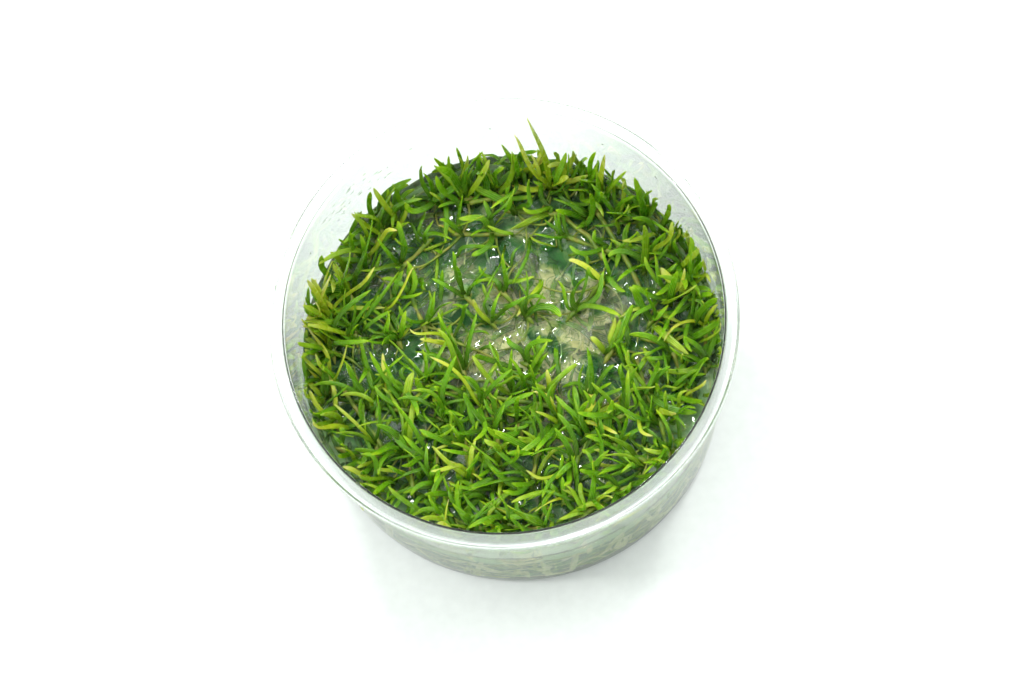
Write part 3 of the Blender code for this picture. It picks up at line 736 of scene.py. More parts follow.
def add_low_leaves(store, rng, base, lean, open_here):
    """Low leaves between the crowns, given a deep green tone as painted shade; few of them in a clearing.
    """
    for _ in range(round(rng.uniform(*LOW_LEAVES) * (1 - 0.9 * open_here))):
        turn, out = rng.uniform(0, 2 * math.pi), rng.uniform(0, LOW_REACH)
        foot = base + Vector((out * math.cos(turn), out * math.sin(turn), rng.uniform(-1.3, -0.8)))
        low = shaped_leaf(foot, rng.gauss(lean, 80), rng.uniform(0, 35), rng.gauss(lean, 80),
                          rng.uniform(-15, 30), rng.uniform(*SHOOT_LENGTHS))
        add_leaf_blade(store, rng, low, rng.uniform(0.3, 0.8), rng.uniform(*LOW_SHADE_TONE), LOW_WIDER)


def shoot_leaf(rng, foot, lean):
    """A short young leaf from anywhere on a stem, lying low or standing."""
    turn = rng.gauss(lean, 70)
    rise = rng.uniform(5, 75)
    length = rng.uniform(*SHOOT_LENGTHS)
    return shaped_leaf(foot, turn, rise, turn + rng.gauss(0, 45), rise - rng.uniform(10, 80), length)


def add_shoots(store, rng, base, lean, open_here):
    for _ in range(round(rng.uniform(*SHOOTS) * (1 - open_here))):
        foot = foot_near(rng, base, 2.2, -1.1, -0.5)
        leaf = shoot_leaf(rng, foot, lean)
        add_leaf_blade(store, rng, leaf, rng.uniform(0.3, 0.8), drawn_tone(rng, *SHOOT_TONE),
                       SHOOT_WIDER)


def add_side_stems(store, rng, base, open_here):
    """One or two thin stems that bend away over the gel, most with a leaf at the end."""
    for _ in range(2 if rng.random() < 0.5 else 1):
        turn, length = rng.uniform(0, 2 * math.pi), rng.uniform(*SIDE_STEM_LENGTHS)
        bend, thick = rng.gauss(0, 0.9), rng.uniform(*SIDE_STEM_RADIUS)
        lift = rng.uniform(-0.3, 0.9)
        run = []
        for k in range(SIDE_STEM_BENDS + 1):
            share = k / SIDE_STEM_BENDS
            heading_here = turn + bend * share
            way = Vector((math.cos(heading_here), math.sin(heading_here), 0))
            spot = kept_in(lambda t, s=base + way * length * share: s, 0.9)(0)
            level = gel_height(spot.x, spot.y) + VISIBLE_LEVEL + lift * math.sin(math.pi * share)
            start_lift = 0.4 if k == 0 else 0.0
            run.append(Vector((spot.x, spot.y, level + start_lift, thick * (1 - 0.12 * k))))
        add_tube(store, run, 5, 8, 1)
        if rng.random() > open_here - 0.3:
            leaf = shoot_leaf(rng, run[-1].to_3d(), math.degrees(turn))
            add_leaf_blade(store, rng, leaf, 0.5, drawn_tone(rng, *SIDE_LEAF_TONE), -0.2)


def add_roots(store, rng, base):
    """Roots that spread and go down into the gel; each path has shares of the spread, the depth
    and a radius."""
    for _ in range(ROOTS_EACH):
        turn, spread = rng.uniform(0, 2 * math.pi), rng.uniform(*ROOT_SPREAD)
        out = Vector((math.cos(turn), math.sin(turn), 0))
        drop = rng.uniform(*ROOT_DROP)
        path = ((0.0, 0.4, 0.2), (0.4, 0.35 * drop, 0.17), (1.0, 0.7 * drop, 0.13), (1.2, drop, 0.08))
        run = [Vector((*(base + share * spread * out - Vector((0, 0, down))), radius))
               for share, down, radius in path]
        add_tube(store, run, 3, 6, 2)


# %% One plant, from its planned crowns and leaves
PALE_CROWNS = ((5, 1), (29, 2), (28, 2))
PLANT_SEED = 5000
END_DROP = Vector((0, 0, -0.7, -0.2))


def make_plant(number, crowns, tufts):
    """All of one plant in a store: its crowns' leaves and roots, and the stolon through them."""
    rng = random.Random(PLANT_SEED + number)
    store = Store()
    for crown, ((x, y, lean, _, _), leaves) in enumerate(zip(crowns, tufts), 1):
        base = crown_centre(x, y)
        open_here = openness(x, y)
        add_planned_leaves(store, rng, leaves, (number, crown) in PALE_CROWNS, open_here)
        if math.hypot(x, y) > EDGE_ROW:
            add_edge_row(store, rng, x, y)
        add_low_leaves(store, rng, base, lean, open_here)
        add_shoots(store, rng, base, lean, open_here)
        add_side_stems(store, rng, base, open_here)
        add_roots(store, rng, base)
    route = [Vector((x, y, z - 0.35, 0.34 + 0.2 * (radius - STEM_RADIUS)))
             for x, y, z, radius in stem_route(crowns)]
    for end in (0, -1):
        route[end] += END_DROP
    add_tube(store, route, 5, 10, 1)
    return store


# %% [markdown]
# ## The root thread's finish
#
# Young roots are pale, thin and slightly see-through. A cream colour that wanders towards green is
# enough at this size.

# %% Material: root thread
# To the eye: a pale, slightly shiny thread that goes from cream to yellow-green.
ROOT_PATCH_MM = 3.0
ROOT, tree, shader = new_material("lilaeopsis root, pale", IOR=1.4, Roughness=0.4)
where = add_node(tree, "ShaderNodeTexCoord").outputs["Object"]
patches = add_node(tree, "ShaderNodeTexNoise", {"Scale": per_mm(ROOT_PATCH_MM), "Detail": 3.0},
                   {"Vector": where}).outputs["Fac"]
colours = add_node(tree, "ShaderNodeValToRGB", {}, {0: patches},
                   ((0.35, "#B4C868"), (0.5, "#DEE6A4"), (0.68, "#F5F3D2")))
tree.links.new(colours.outputs[0], shader.inputs["Base Color"])
dull = add_node(tree, "ShaderNodeMapRange", {"To Min": 0.3, "To Max": 0.55},
                {"Value": patches}).outputs[0]
tree.links.new(dull, shader.inputs["Roughness"])
print(ROOT.name)

# %% All the plants
stores = [make_plant(number, crowns, tufts)
          for number, (crowns, tufts) in enumerate(zip(PLAN, LEAVES), 1)]
print("faces in the plants' stores", sum(len(store.faces) for store in stores))

# %% [markdown]
# ## Leaves that lean on the wall
#
# Round the back and the left the outermost plants stand against the wall, and their longest leaves
# climb it with their tips well above the lawn. They are the ones that show against the clear
# plastic, so they are given one by one: how far round the cup the tip is, and how high.

# %% Leaves on the wall: (turn in degrees from +X, height of the tip)
WALL_TIPS = (
    (158, 34.0), (150, 32.5), (160, 27.0), (168, 23.5), (138, 26.0), (126, 29.0), (117, 30.5),
    (99, 29.0), (92, 30.0), (79, 28.5), (52, 32.0), (34, 29.0), (19, 28.0), (9, 28.5), (1, 27.5))
WALL_SEED = 7000
YELLOWED_FROM = 145
YELLOWED_TONE, GREEN_TONE = (0.65, 1.0), (0.25, 0.75)
LEANING_EACH = 3
LEANING_SHARE = (0.45, 0.8)
LEANING_FOOT, LEANING_SUNK, LEANING_WIDER = (31.5, 33.8), 1.0, 0.12
LEANING_WALL_GAP = 0.5


def nearest_plant(spot):
    """The place in PLAN of the plant whose crown is nearest to a spot."""
    def away(plant):
        return min(math.hypot(spot.x - x, spot.y - y) for x, y, *_ in PLAN[plant])
    return min(range(len(PLAN)), key=away)


def wall_leaf(turn, tip_height, rng):
    """A leaf from the gel's edge up the wall, bowed a little inwards."""
    foot_turn, tip_turn = math.radians(turn + rng.gauss(0, 5)), math.radians(turn)
    foot = Vector((math.cos(foot_turn), math.sin(foot_turn), 0)) * rng.uniform(*LEANING_FOOT)
    foot.z = gel_height(foot.x, foot.y) + VISIBLE_LEVEL - LEANING_SUNK
    out = inside_radius(tip_height) - LEANING_WALL_GAP
    tip = Vector((math.cos(tip_turn), math.sin(tip_turn), 0)) * out
    tip.z = tip_height
    bend = foot.lerp(tip, 0.45)
    bend.z += rng.uniform(1.0, 2.5)
    return foot, bend, tip


for number, (turn, tip_height) in enumerate(WALL_TIPS):
    rng = random.Random(WALL_SEED + number)
    for rank in range(LEANING_EACH):
        share = 1.0 if rank == 0 else rng.uniform(*LEANING_SHARE)
        aside = 0 if rank == 0 else rng.gauss(0, 4)
        leaf = wall_leaf(turn + aside, GEL_LEVEL + share * (tip_height - GEL_LEVEL), rng)
        tone = rng.uniform(*(YELLOWED_TONE if turn > YELLOWED_FROM else GREEN_TONE))
        plant = stores[nearest_plant(leaf[0])]
        add_leaf_blade(plant, rng, leaf, rng.uniform(0.2, 0.5), tone, LEANING_WIDER)
print("leaves on the wall", len(WALL_TIPS) * LEANING_EACH)

# %% [markdown]
# ## Long runners
#
# A few stolons run bare over the gel from one tuft to the next, and show as olive cords. Each one
# belongs to the plant that it grows from. They are given by the places that they pass.

# %% Runners by plant
RUNNERS = {
    6: ((19.0, 25.9), (21.0, 20.2), (22.7, 14.4), (23.9, 9.9), (24.5, 6.3)),
    3: ((-1.3, 28.9), (4.6, 28.6), (9.1, 29.0), (12.3, 28.5)),
    36: ((-17.2, -3.0), (-8.8, -5.6), (-0.5, -8.7), (6.4, -11.5)),
    10: ((22.5, -2.3), (26.4, -4.5), (30.1, -7.9), (33.2, -10.4)),
    28: ((-30.0, 0.3), (-28.5, -3.8), (-27.1, -7.5), (-25.7, -11.2)),
    40: ((13.9, 23.3), (15.9, 20.3), (18.0, 17.5), (19.5, 12.9)),
}
RUNNER_SEED = 6000
RUNNER_LIFT, RUNNER_RADIUS = (0.7, 1.5), (0.38, 0.48)
for number, places in RUNNERS.items():
    rng = random.Random(RUNNER_SEED + number)
    run = []
    for x, y in places:
        level = gel_height(x, y) + VISIBLE_LEVEL + rng.uniform(*RUNNER_LIFT)
        run.append(Vector((x, y, level, rng.uniform(*RUNNER_RADIUS))))
    add_tube(stores[number - 1], run, 7, 8, 1)
print("runners", len(RUNNERS))

# %% One leaf that has curled into a ring
CURL_PLANT, CURL_PLACE, CURL_RADIUS = 45, (3.7, -0.3), 1.15


def curl(t):
    turn = 2 * math.pi * (1.15 * t - 0.3)
    out = CURL_RADIUS * (1.0 - 0.25 * t)
    x, y = CURL_PLACE[0] + out * math.cos(turn), CURL_PLACE[1] + out * math.sin(turn)
    return Vector((x, y, gel_height(*CURL_PLACE) + VISIBLE_LEVEL + 0.7 + 0.5 * t))


add_blade(stores[CURL_PLANT - 1], curl, width=0.5, thick=0.35, tone=0.6)
print("one curled leaf on plant", CURL_PLANT)

# %% The plants become meshes
for number, store in enumerate(stores, 1):
    piece = store.build(f"lilaeopsis_{number:02d}", (LEAF, STOLON, ROOT))
    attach(piece, "root")
    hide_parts(f"plantlet_{number:02d}")
print("plants' faces", sum(len(store.faces) for store in stores))

# %% [markdown]
# ## The gel
#
# The nutrient gel is agar in water, set in the cup. It bends light as water does and takes a green
# tint from what has leached into it. Its top was stirred when the cuttings were set, so it is
# lumpy, with a wet skin that glints. Bump alone could draw the lumps, but their outline and the way
# they bend light need real shape. So the clear body is one closed mesh of rings about the cup's
# axis, whose top follows the gel's height, with domes about 4 mm across from a cell noise.

# %% Where the gel is teal and where it is cream
CREAM_PLACE = (4.5, 1.0, 17.0)
CREAM_REACH = (10.0, 23.0)
SIDE_BELOW = (13.5, 16.0)
# The ring near the wall where the gel is drawn paler, in mm from the axis, is painted light.
LIT_EDGE = (30.5, 35.5)
SWIRL_MM, SWIRL_BEND_MM = 7.0, 9.0
CLOUD_MM, STREAK_MM = 5.0, 2.6


def gel_colours(tree, teals, creams, sides):
    """The gel's place, its streaks and its colour: cream round the middle, teal elsewhere, paler
    towards the wall as painted light, and the side's own streaks below its top. The skin and the
    core share the pattern."""
    where = add_node(tree, "ShaderNodeTexCoord").outputs["Object"]
    bent = add_node(tree, "ShaderNodeTexNoise", {"Scale": per_mm(SWIRL_MM), "Detail": 2.0},
                    {"Vector": where}).outputs["Color"]
    swirled = add_node(tree, "ShaderNodeVectorMath", {3: SWIRL_BEND_MM * MM}, {0: bent},
                       operation="SCALE").outputs[0]
    moved = add_node(tree, "ShaderNodeVectorMath", {}, {0: where, 1: swirled},
                     operation="ADD").outputs[0]
    lumpy = add_node(tree, "ShaderNodeTexNoise", {"Scale": per_mm(CLOUD_MM), "Detail": 4.0},
                     {"Vector": moved}).outputs["Fac"]
    wiggles = add_node(tree, "ShaderNodeTexNoise",
                       {"Scale": per_mm(STREAK_MM), "Detail": 1.5, "Distortion": 0.5},
                       {"Vector": moved}).outputs["Fac"]
    teal = add_node(tree, "ShaderNodeValToRGB", {}, {0: lumpy}, teals)
    cream = add_node(tree, "ShaderNodeValToRGB", {}, {0: wiggles}, creams)
    side = add_node(tree, "ShaderNodeValToRGB", {}, {0: wiggles}, sides)
    middle = add_node(tree, "ShaderNodeVectorMath", {1: [k * MM for k in CREAM_PLACE]}, {0: where},
                      operation="DISTANCE").outputs["Value"]
    near = add_node(tree, "ShaderNodeMapRange",
                    {"From Min": CREAM_REACH[0] * MM, "From Max": CREAM_REACH[1] * MM,
                     "To Min": 1.0, "To Max": -0.9}, {"Value": middle}).outputs[0]
    patchy = add_node(tree, "ShaderNodeMath", {1: 9.0, 2: -4.2}, {0: lumpy},
                      operation="MULTIPLY_ADD").outputs[0]
    share = add_node(tree, "ShaderNodeMath", {}, {0: near, 1: patchy}, operation="ADD",
                     use_clamp=True).outputs[0]
    flat = add_node(tree, "ShaderNodeVectorMath", {1: (1, 1, 0)}, {0: where},
                    operation="MULTIPLY").outputs[0]
    out = add_node(tree, "ShaderNodeVectorMath", {}, {0: flat}, operation="LENGTH").outputs["Value"]
    # Painted light: the gel is drawn paler towards the wall, for the brightness where light comes in
    # through the clear plastic.
    lit_edge_share = add_node(tree, "ShaderNodeMapRange",
                    {"From Min": LIT_EDGE[0] * MM, "From Max": LIT_EDGE[1] * MM, "To Max": 0.8},
                    {"Value": out}).outputs[0]
    lit_edged = add_node(tree, "ShaderNodeMix", {7: srgb("#DCEFCB")}, {0: lit_edge_share, 6: teal.outputs[0]},
                     data_type="RGBA").outputs[2]
    top = add_node(tree, "ShaderNodeMix", {}, {0: share, 6: lit_edged, 7: cream.outputs[0]},
                   data_type="RGBA").outputs[2]
    height = add_node(tree, "ShaderNodeSeparateXYZ", {}, {0: where}).outputs["Z"]
    above = add_node(tree, "ShaderNodeMapRange",
                     {"From Min": SIDE_BELOW[0] * MM, "From Max": SIDE_BELOW[1] * MM},
                     {"Value": height}).outputs[0]
    whole = add_node(tree, "ShaderNodeMix", {}, {0: above, 6: side.outputs[0], 7: top},
                     data_type="RGBA").outputs[2]
    return where, wiggles, whole


print("the gel is cream within", CREAM_REACH[0], "mm of", CREAM_PLACE)

# %% Material: agar gel
# To the eye: clear wet jelly, green where it is deep, with a small white glint on every lump. A
# small share of it stays unclear, as set agar is a little milky. The skin ripples every 2 mm.
GEL_TINT, GEL_TINT_DENSITY = srgb("#ACD898"), 40.0
SKIN_RIPPLE_MM, SKIN_RIPPLE_DEPTH_MM = 2.0, 0.25
AGAR, tree, shader = new_material("agar gel, set and wet", Transmission_Weight=0.92, IOR=1.335,
                                  Roughness=0.03)
where, wiggles, colours = gel_colours(
    tree, ((0.34, "#66A566"), (0.48, "#96C78C"), (0.60, "#C6E3B4"), (0.72, "#EAF4D4")),
    ((0.34, "#C4D694"), (0.42, "#FDFBDC"), (0.475, "#FDFBDC"), (0.49, "#B0C888"), (0.505, "#FFFDE6"),
     (0.58, "#FFFDE6"), (0.60, "#BED092"), (0.62, "#FFFDE2")),
    ((0.36, "#CFE6BC"), (0.47, "#DDEECB"), (0.50, "#F7F9DD"), (0.53, "#D3E8C0"), (0.64, "#EAF3D6")))
tree.links.new(colours, shader.inputs["Base Color"])
wet = add_node(tree, "ShaderNodeMapRange",
               {"From Min": 0.4, "From Max": 0.7, "To Min": 0.01, "To Max": 0.05},
               {"Value": wiggles}).outputs[0]
tree.links.new(wet, shader.inputs["Roughness"])
ripples = add_node(tree, "ShaderNodeTexNoise", {"Scale": per_mm(SKIN_RIPPLE_MM), "Detail": 1.0},
                   {"Vector": where}).outputs["Fac"]
relief = add_node(tree, "ShaderNodeBump", {"Strength": 0.5, "Distance": SKIN_RIPPLE_DEPTH_MM * MM},
                  {"Height": ripples}).outputs[0]
tree.links.new(relief, shader.inputs["Normal"])
absorbs = add_node(tree, "ShaderNodeVolumeAbsorption",
                   {"Color": GEL_TINT, "Density": GEL_TINT_DENSITY})
tree.links.new(absorbs.outputs[0], tree.nodes["Material Output"].inputs["Volume"])
print(AGAR.name)

# %% The lumpy top
GEL_OVERLAP = 0.05
GEL_FOOT_GAP = 0.1
GEL_SPOKES = 320
GEL_TOP_RINGS = 120
LUMP_SIZE, LUMP_HEIGHT, LUMP_BLEND = 4.4, 1.15, 14
BROAD_SIZE, BROAD_HEIGHT = 6.5, 0.45
SMALL_SIZE, SMALL_HEIGHT = 1.2, 0.06


def lumps(x, y):
    """Smooth glassy domes with creases between them, higher and lower than the gel's even top."""
    near = noise.voronoi(Vector((x / LUMP_SIZE, y / LUMP_SIZE, 0.3)))[0]
    dome = -math.log(sum(math.exp(-LUMP_BLEND * d) for d in near[:3])) / LUMP_BLEND
    broad = noise.noise(Vector((x / BROAD_SIZE, y / BROAD_SIZE, 1.7)))
    small = noise.noise(Vector((x / SMALL_SIZE, y / SMALL_SIZE, 4.1)))
    return (LUMP_HEIGHT * (0.42 - 1.25 * dome * dome)
            + BROAD_HEIGHT * broad + SMALL_HEIGHT * small)


def gel_top(x, y):
    """The height of the lumpy top: calmer near the wall, where the gel climbs a little."""
    out = math.hypot(x, y)
    calm = 1 - 0.6 * smooth_step((out - 32.5) / 2.5)
    climb = 0.9 * smooth_step((out - 34.4) / 1.6) ** 2
    return gel_height(x, y) + VISIBLE_LEVEL + calm * lumps(x, y) + climb


def disc_mesh(name, rings, spokes, place):
    """A closed body of rings of points about a middle point at each end, by place(ring, turn)."""
    points = [place(0, 0)]
    for ring in range(1, rings):
        points += [place(ring, 2 * math.pi * s / spokes) for s in range(spokes)]
    points.append(place(rings, 0))
    faces = [[0, 1 + s, 1 + (s + 1) % spokes] for s in range(spokes)]
    for ring in range(rings - 2):
        low, high = 1 + ring * spokes, 1 + (ring + 1) * spokes
        faces += [[low + s, high + s, high + (s + 1) % spokes, low + (s + 1) % spokes]
                  for s in range(spokes)]
    last = 1 + (rings - 2) * spokes
    faces += [[last + s, len(points) - 1, last + (s + 1) % spokes] for s in range(spokes)]
    mesh = bpy.data.meshes.new(name)
    mesh.from_pydata([tuple(p * MM) for p in points], [], faces)
    mesh.polygons.foreach_set("use_smooth", [True] * len(faces))
    mesh.update()
    piece = bpy.data.objects.new(name, mesh)
    bpy.context.scene.collection.objects.link(piece)
    return piece


print("the gel's top at the axis", round(gel_top(0, 0), 2))

# %% The gel's body
def gel_side():
    """(radius, height) down the gel's side and round its foot, from just below its top."""
    foot = FLOOR + GEL_FOOT_GAP
    places = [(inside_radius(z) + GEL_OVERLAP, z) for z in np.linspace(GEL_LEVEL - 1, foot + 1, 14)]
    corner = places[-1][0]
    places += [(corner - 1 + math.cos(a), foot + 1 - math.sin(a)) for a in np.radians((30, 60, 90))]
    return places + [(corner * k / 6, foot) for k in range(5, 0, -1)]


GEL_SIDE = gel_side()


def gel_place(ring, turn):
    if ring < GEL_TOP_RINGS:
        out = (inside_radius(GEL_LEVEL + 1) + GEL_OVERLAP) * ring / (GEL_TOP_RINGS - 1)
        x, y = out * math.cos(turn), out * math.sin(turn)
        return Vector((x, y, gel_top(x, y)))
    if ring - GEL_TOP_RINGS < len(GEL_SIDE):
        out, z = GEL_SIDE[ring - GEL_TOP_RINGS]
        return Vector((out * math.cos(turn), out * math.sin(turn), z))
    return Vector((0, 0, GEL_SIDE[-1][1]))


gel = disc_mesh("agar_gel", GEL_TOP_RINGS + len(GEL_SIDE), GEL_SPOKES, gel_place)
gel.data.materials.append(AGAR)
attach(gel, "root")
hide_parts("gel")
print("gel faces", len(gel.data.polygons))

# %% [markdown]
# ## The clouded core of the gel
#
# Below its clear skin the gel is clouded by roots, old leaves and fine debris, so it hides the
# cup's floor. It is green round the sides and the back, and cream in the middle, where the tufts
# stand apart. A volume that scatters light would be truer, but slow and grainy to render, so a
# second closed body inside the first one carries the cloud. From the side it is a deeper green,
# with paler streaks where matter swirled as the gel was poured.

# %% Material: clouded agar
# To the eye: a soft, unshiny depth under the clear skin, streaked like marble.
CLOUDED, tree, shader = new_material("agar gel, clouded with plant debris", IOR=1.34, Roughness=0.6,
                                     Specular_IOR_Level=0.1)
_, wiggles, colours = gel_colours(
    tree, ((0.34, "#3A7A3E"), (0.48, "#64A05C"), (0.60, "#98C582"), (0.74, "#D6E9B0")),
    ((0.32, "#7F9650"), (0.42, "#F4F1B2"), (0.47, "#F4F1B2"), (0.49, "#71904A"), (0.51, "#FEFBD0"),
     (0.58, "#FBF8C8"), (0.60, "#8FA75E"), (0.62, "#FEFBD0")),
    ((0.36, "#3F7A26"), (0.46, "#5A9A34"), (0.50, "#94BE50"), (0.54, "#4A862C"), (0.66, "#7CB044")))
tree.links.new(colours, shader.inputs["Base Color"])
relief = add_node(tree, "ShaderNodeBump", {"Strength": 0.6, "Distance": 0.5 * MM},
                  {"Height": wiggles}).outputs[0]
tree.links.new(relief, shader.inputs["Normal"])
print(CLOUDED.name)

# %% The core's body
CORE_SPOKES = 180
CORE_TOP_RINGS = 60
CORE_TOP_RADIUS = 36.0
CORE_RADIUS = 34.4
CORE_FOOT = 2.4
CORE_DEPTH, CORE_WAVE, CORE_EDGE_RISE, SKIN_LEAST = 1.6, 0.9, 1.3, 0.4


def core_top(x, y):
    """The cloud starts 1 to 3 mm under the gel's top and comes nearer to it at the wall."""
    wave = noise.noise(Vector((x / 5.2, y / 5.2, 9.0)))
    wave += 0.45 * noise.noise(Vector((x / 2.1, y / 2.1, 2.0)))
    rise = CORE_EDGE_RISE * smooth_step((math.hypot(x, y) - 31.0) / 4.0)
    return min(gel_height(x, y) - CORE_DEPTH + CORE_WAVE * wave + rise, gel_top(x, y) - SKIN_LEAST)


CORE_SIDE = [(CORE_TOP_RADIUS, 16.2), (CORE_RADIUS + 0.9, 15.0)]
CORE_SIDE += [(CORE_RADIUS + 0.2, z) for z in (13.0, 10.0, 6.5)]
CORE_SIDE += [(CORE_RADIUS - 0.1, 4.2), (CORE_RADIUS - 0.8, 3.0)]
CORE_SIDE += [(out, CORE_FOOT) for out in (CORE_RADIUS - 2.0, CORE_RADIUS * 0.6, CORE_RADIUS * 0.2)]


def core_place(ring, turn):
    if ring < CORE_TOP_RINGS:
        out = CORE_TOP_RADIUS * ring / (CORE_TOP_RINGS - 1)
        x, y = out * math.cos(turn), out * math.sin(turn)
        return Vector((x, y, core_top(x, y)))
    if ring - CORE_TOP_RINGS < len(CORE_SIDE):
        out, z = CORE_SIDE[ring - CORE_TOP_RINGS]
        if z < 16:
            out += 0.3 * noise.noise(Vector((9 * math.cos(turn), 9 * math.sin(turn), z / 4)))
        return Vector((out * math.cos(turn), out * math.sin(turn), z))
    return Vector((0, 0, CORE_FOOT))


core = disc_mesh("clouded_core", CORE_TOP_RINGS + len(CORE_SIDE), CORE_SPOKES, core_place)
core.data.materials.append(CLOUDED)
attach(core, "root")
print("core faces", len(core.data.polygons))

# %% [markdown]
# ## What floats in the gel
#
# Between the core and the clear skin, and most of all against the wall, lie leaves that sank in,
# old leaves that have gone pale, and root threads that swirl along the plastic. They are what an
# eye finds when it looks at the cup from the side. A pattern on the core could stand for them, but
# it would have no depth, so each is a blade or a tube on a random curve that keeps to its layer.

# %% Curves that keep to a layer of the gel
LOWEST_BY_WALL, LEAST_COVER = 3.5, 1.2
FARTHEST_OUT, LEAST_SUNK = 34.6, 0.25


def wall_curve(turn, z, sweep, climb, inset, wave, phase):
    """A curve that runs round the gel just inside its side."""
    def place(t):
        height = z + climb * t + wave * math.sin(phase + 5 * t)
        height = min(max(height, LOWEST_BY_WALL), GEL_LEVEL - LEAST_COVER)
        out = inside_radius(height) - inset * (1 + 0.5 * math.sin(phase + 4 * t))
        angle = turn + sweep * t
        return Vector((out * math.cos(angle), out * math.sin(angle), height))
    return place


def layer_curve(rng, out, deep):
    """A curve that lies nearly flat, deep mm under the gel's top, from a place out from the axis."""
    turn = rng.uniform(0, 2 * math.pi)
    start = Vector((out * math.cos(turn), out * math.sin(turn), 0))
    way, bend = rng.uniform(0, 2 * math.pi), rng.gauss(0, 1.1)
    length, dive = rng.uniform(4, 10), rng.gauss(0, 0.8)

    def place(t):
        spot = start + length * t * Vector((math.cos(way + bend * t), math.sin(way + bend * t), 0))
        far = math.hypot(spot.x, spot.y)
        if far > FARTHEST_OUT:
            spot *= FARTHEST_OUT / far
        spot.z = gel_top(spot.x, spot.y) - max(deep + dive * t + 0.3 * math.sin(6 * t), LEAST_SUNK)
        return spot
    return place


print("the lowest that a strand runs", LOWEST_BY_WALL, "mm")

# %% Sunken leaves
SUNKEN_BY_WALL, SUNKEN_UNDER_TOP, SUNKEN_AT_EDGE = 120, 230, 150
LOWEST, SPREAD = 3.0, 33.0
FLAT_TO_WALL = 90
rng = random.Random(77)
sunken = Store()
for _ in range(SUNKEN_BY_WALL):
    z = rng.uniform(LOWEST, GEL_LEVEL - 1.0)
    curve = wall_curve(rng.uniform(0, 2 * math.pi), z, rng.gauss(0, 0.16), rng.gauss(0.5, 4.0),
                       rng.uniform(0.55, 1.1), rng.uniform(0.3, 1.8), rng.uniform(0, 6))
    add_blade(sunken, curve, rng.uniform(0.6, 1.2), 0.25, math.radians(rng.gauss(0, 25)),
              drawn_tone(rng, 0.85, 0.12, 0.4), roll=math.radians(rng.gauss(FLAT_TO_WALL, 15)))
for _ in range(SUNKEN_UNDER_TOP):
    curve = layer_curve(rng, SPREAD * math.sqrt(rng.random()), rng.uniform(0.3, 1.6))
    add_blade(sunken, curve, rng.uniform(0.7, 1.4), 0.3, math.radians(rng.gauss(0, 40)),
              drawn_tone(rng, 0.35, 0.2))
for _ in range(SUNKEN_AT_EDGE):
    curve = layer_curve(rng, rng.uniform(28.5, 35.0), rng.uniform(0.4, 5.0))
    add_blade(sunken, curve, rng.uniform(0.9, 1.8), 0.3, math.radians(rng.gauss(0, 50)),
              drawn_tone(rng, 0.6, 0.2))
print("sunken leaves", SUNKEN_BY_WALL + SUNKEN_UNDER_TOP + SUNKEN_AT_EDGE)

# %% Pale strands and root threads
PALE_STRANDS, THREADS_BY_WALL, THREADS_UNDER_TOP = 170, 190, 120
threads = Store()
for _ in range(PALE_STRANDS):
    z = rng.uniform(LOWEST, GEL_LEVEL - 1.5)
    curve = wall_curve(rng.uniform(0, 2 * math.pi), z, rng.gauss(0, 0.14), rng.gauss(0, 8.0),
                       rng.uniform(0.5, 0.7), rng.uniform(0.6, 3.0), rng.uniform(0, 6))
    add_blade(threads, curve, rng.uniform(0.9, 1.8), 0.2, tone=0.0, roll=math.radians(FLAT_TO_WALL))
for _ in range(THREADS_BY_WALL):
    z = rng.uniform(LOWEST, GEL_LEVEL - 1.5)
    curve = wall_curve(rng.uniform(0, 2 * math.pi), z, rng.gauss(0, 0.35), rng.gauss(0, 3.0),
                       rng.uniform(0.5, 1.6), rng.uniform(0.3, 2.2), rng.uniform(0, 6))
    radius = rng.uniform(0.10, 0.26)
    add_tube(threads, [Vector((*curve(k / 8), radius)) for k in range(9)], 3, 6)
for _ in range(THREADS_UNDER_TOP):
    curve = layer_curve(rng, SPREAD * math.sqrt(rng.random()), rng.uniform(0.3, 1.6))
    radius = rng.uniform(0.10, 0.22)
    add_tube(threads, [Vector((*curve(k / 6), radius)) for k in range(7)], 3, 6)
print("strands and threads", PALE_STRANDS + THREADS_BY_WALL + THREADS_UNDER_TOP)

# %% They become meshes
sunken = sunken.build("sunken_leaves", (LEAF,))
threads = threads.build("root_threads", (ROOT,))
for piece in (sunken, threads):
    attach(piece, "root")
print("faces in the gel", len(sunken.data.polygons) + len(threads.data.polygons))

# %% [markdown]
# ## The cup
#
# The cup is injection moulded in one piece of clear polystyrene, which bends light strongly and
# is glossy. Its section tells all: a floor, a wall that tapers for stacking, and a lip that rolls
# outwards into a stiff band. The section is drawn as a line, and rings of points carry it round
# the cup's axis. A Screw modifier could turn it too, but here each ring's place also takes the
# faint ripples of moulded plastic. Small rounds matter, because a clear edge is seen only by how
# it bends light into thin dark and bright lines.

# %% Material: clear polystyrene
# To the eye: thin dark and bright lines at every fold and edge, a faint green where the plastic is
# deep, and a soft blur where a film of wet air lies on it in patches. The surface waves where the
# plastic flowed into the mould.
FILM_PATCH_MM = 9.0
FLOW_MM, FLOW_DEPTH_MM = 14.0, 0.3
STYRENE_TINT, STYRENE_DENSITY = srgb("#D9EFE6"), 14.0
STYRENE, tree, shader = new_material("clear polystyrene, injection moulded", Transmission_Weight=1.0,
                                     IOR=1.59, Roughness=0.02)
where = add_node(tree, "ShaderNodeTexCoord").outputs["Object"]
smears = add_node(tree, "ShaderNodeTexNoise", {"Scale": per_mm(FILM_PATCH_MM), "Detail": 4.0},
                  {"Vector": where}).outputs["Fac"]
film = add_node(tree, "ShaderNodeMapRange",
                {"From Min": 0.45, "From Max": 0.75, "To Min": 0.02, "To Max": 0.09},
                {"Value": smears}).outputs[0]
tree.links.new(film, shader.inputs["Roughness"])
tints = add_node(tree, "ShaderNodeValToRGB", {}, {0: smears},
                 ((0.3, "#F6FBF9"), (0.7, "#FFFFFF")))
tree.links.new(tints.outputs[0], shader.inputs["Base Color"])
